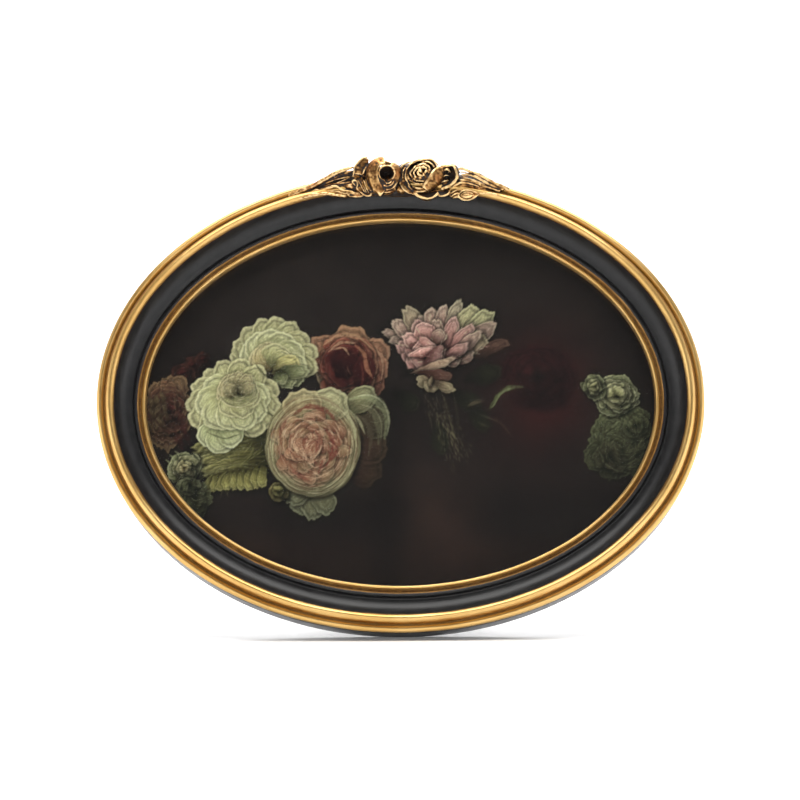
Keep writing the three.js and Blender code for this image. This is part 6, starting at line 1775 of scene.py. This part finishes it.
    # buds at the right, lit above and dim below
    pt.rose(75, -14, 9.4, 12.0, moss, moss, [(1.0, 8, 1.1), (0.85, 7, 1.0), (0.68, 7, 1.0), (0.5, 6, 1.0), (0.32, 4, 1.0)], 81, rim=0.45, wave=0.17, light=0.74, shadow=0.35)
    pt.rose(71, -19, 7.5, 7.5, moss, [(24, 22, 15), (56, 54, 38), (82, 80, 58), (104, 104, 78)], [(1.0, 7, 1.0), (0.7, 6, 1.0), (0.45, 4, 1.0)], 82, rim=0.4, wave=0.18, light=0.66, shadow=0.3)
    pt.rose(80, -8, 5.5, 6, moss, moss, [(1.0, 7, 1.0), (0.72, 6, 1.0), (0.45, 4, 1.0)], 83, rim=0.5, wave=0.16, light=0.8, shadow=0.35)
    pt.rose(73.6, 2.6, 7.4, 7.0, sage, cream, [(1.0, 7, 1.2), (0.8, 6, 1.1), (0.6, 5, 1.1), (0.38, 4, 1.0)], 84, rim=0.75, wave=0.13, light=0.95)
    pt.rose(66.2, 5.6, 3.4, 4.2, sage, cream, [(1.0, 5, 1.2), (0.65, 4, 1.0), (0.35, 3, 1.0)], 85, rim=0.7, wave=0.12, light=0.92)
    touches(74, 2, 8, 7, 110, (186, 190, 148), (58, 62, 42), 185, 1.0)
    touches(74.5, -14, 9.4, 11.4, 420, (104, 106, 76), (28, 28, 19), 186, 0.9, long=(1.2, 3.4), wd=(0.1, 0.28))

    edge = 1 - 0.3 * sm(-15, -5, X) * sm(10, 2, Y) * sm(6, -4, X)
    low = 1 - 0.25 * sm(-24, -36, Y) * sm(-50, -38, X)
    pt.c *= (edge * low)[..., None]
    grain = 1 + 0.05 * noise2(X * 3.1, Y * 3.1, 97) + 0.035 * noise2(X * 1.1, Y * 6.0, 98) + 0.03 * noise2(X * 6.0, Y * 1.2, 99)
    pt.c *= grain[..., None]
    return np.clip(pt.c, 0, 1)


def art_sheet():
    img = paint()
    lin = np.where(img <= 0.04045, img / 12.92, ((img + 0.055) / 1.055) ** 2.4)
    # two raster steps to a point: a small blur keeps every point the mean of its surroundings
    pad = np.pad(lin, ((1, 1), (1, 1), (0, 0)), mode="edge")
    bl = sum(w1 * w2 * pad[1 + a: 1 + a + PH, 1 + b: 1 + b + PW] for a, w1 in ((-1, .22), (0, .56), (1, .22)) for b, w2 in ((-1, .22), (0, .56), (1, .22)))
    px = bl[::2, ::2]
    gx = np.abs(np.diff(img.mean(2)[::2, ::2], axis=1, append=0))
    gy = np.abs(np.diff(img.mean(2)[::2, ::2], axis=0, append=0))
    g = gx + gy
    k = CELL // 2
    xs, ys = X0 + 2 * PITCH * np.arange(NX * k + 1), Y0 + 2 * PITCH * np.arange(NY * k + 1)
    ea, eb = OUTER_A - 12.1, OUTER_B - 12.1
    cell = g[: NY * k, : NX * k].reshape(NY, k, NX, k).mean((1, 3))
    cxs, cys = X0 + CELL * PITCH * np.arange(NX + 1), Y0 + CELL * PITCH * np.arange(NY + 1)
    inside_v = ((cxs[None] / (ea - 0.5)) ** 2 + (cys[:, None] / (eb - 0.5)) ** 2) < 1
    keep = inside_v[:-1, :-1] & inside_v[1:, :-1] & inside_v[:-1, 1:] & inside_v[1:, 1:]
    # the busiest cells are cut four by four, up to a fixed number of them
    seen = (((cxs[None, :-1] + 0.5) / 87.5) ** 2 + ((cys[:-1, None] + 0.5) / 64.0) ** 2) < 1
    score = np.where(keep & seen, cell, -1)
    order = np.sort(score.ravel())[::-1]
    fine = keep & (score >= max(order[5600], 0.004))
    W = NX * k + 1
    faces = []
    for j in range(NY):
        for i in range(NX):
            if not keep[j, i]:
                continue
            b, a = j * k, i * k
            if fine[j, i]:
                for q in range(k):
                    for p in range(k):
                        v = (b + q) * W + a + p
                        faces.append((v, v + 1, v + W + 1, v + W))
            else:
                loop = [b * W + a]
                if j and fine[j - 1, i]:
                    loop += [b * W + a + p for p in range(1, k)]
                loop.append(b * W + a + k)
                if i + 1 < NX and fine[j, i + 1]:
                    loop += [(b + q) * W + a + k for q in range(1, k)]
                loop.append((b + k) * W + a + k)
                if j + 1 < NY and fine[j + 1, i]:
                    loop += [(b + k) * W + a + p for p in range(k - 1, 0, -1)]
                loop.append((b + k) * W + a)
                if i and fine[j, i - 1]:
                    loop += [(b + q) * W + a for q in range(k - 1, 0, -1)]
                faces.append(tuple(loop))
    used = np.unique(np.concatenate([np.array(f) for f in faces]))
    remap = np.full(W * (NY * k + 1), -1)
    remap[used] = np.arange(len(used))
    vx, vy = xs[used % W].copy(), ys[used // W].copy()
    col = px.reshape(-1, 3)[used]
    faces = [tuple(int(remap[v]) for v in f) for f in faces]
    # the rim of cells is drawn out to the sheet's oval edge
    pairs = {}
    for f in faces:
        for a, b in zip(f, f[1:] + f[:1]):
            key = (a, b) if a < b else (b, a)
            pairs[key] = pairs.get(key, 0) + 1
    nxt = {}
    for f in faces:
        for a, b in zip(f, f[1:] + f[:1]):
            if pairs[(a, b) if a < b else (b, a)] == 1:
                nxt[a] = b
    start = next(iter(nxt))
    loop, v = [start], nxt[start]
    while v != start:
        loop.append(v)
        v = nxt[v]
    for v in loop:
        s = 1 / math.hypot(vx[v] / ea, vy[v] / eb)
        vx[v] *= s
        vy[v] *= s
    n = len(vx)
    top = np.stack([vx, vy, np.full(n, 5.4)], 1)
    low = np.stack([vx[loop], vy[loop], np.full(len(loop), 5.0)], 1)
    m = len(loop)
    faces += [(loop[i], n + i, n + (i + 1) % m, loop[(i + 1) % m]) for i in range(m)]
    faces.append(tuple(n + i for i in range(m))[::-1])
    V = np.vstack([top, low])
    ob = make("picture", world(V), faces, False)
    cc = np.vstack([col, np.full((m, 3), 0.6)])
    give(ob, "paint", np.hstack([cc, np.ones((len(cc), 1))]), "FLOAT_COLOR")
    me = ob.data
    uv = me.uv_layers.new(name="OFBake")
    lv = np.zeros(len(me.loops), np.int64)
    me.loops.foreach_get("vertex_index", lv)
    u = (V[:, 0] + ea) / (2 * ea) * 0.98 + 0.01
    w = (V[:, 1] + eb) / (2 * eb) * 0.98 + 0.01
    tot = np.zeros(len(me.polygons), np.int64)
    me.polygons.foreach_get("loop_total", tot)
    poly = np.repeat(np.arange(len(me.polygons)), tot)
    back = np.zeros(len(me.polygons), bool)
    np.logical_or.at(back, poly, lv >= n)
    bk = back[poly]
    U = np.where(bk, 0.004 + 0.03 * u[lv], u[lv])
    Wv = np.where(bk, 0.004 + 0.03 * w[lv], w[lv])
    uv.data.foreach_set("uv", np.stack([U, Wv], 1).astype(np.float32).ravel())
    return ob


picture = art_sheet()
print("print faces", len(picture.data.polygons), "corners", len(picture.data.loops))


def print_material():
    m = Nodes("art_print")
    co = m.obj()
    c = m.attr("paint", "Color")
    weave = m.noise(co, 2600.0, 2, 0.6)
    brush = m.noise(m.scale(co, (1, 0.4, 1.0)), 900.0, 3, 0.6, 0.6)
    k = m.add(0.90, m.add(m.mul(weave, 0.10), m.mul(brush, 0.12)))
    n = m.t.nodes.new("ShaderNodeVectorMath")
    n.operation = "SCALE"
    m.t.links.new(c, n.inputs[0])
    m.t.links.new(k, n.inputs[3])
    m.set(Base_Color=n.outputs[0], Roughness=m.mapr(brush, 0.3, 0.7, 0.5, 0.68), Normal=m.bump(brush, 0.12, 0.00008))
    m.p.inputs["Specular IOR Level"].default_value = 0.1
    return m.m


settle(picture, "frame", "art_print", print_material())
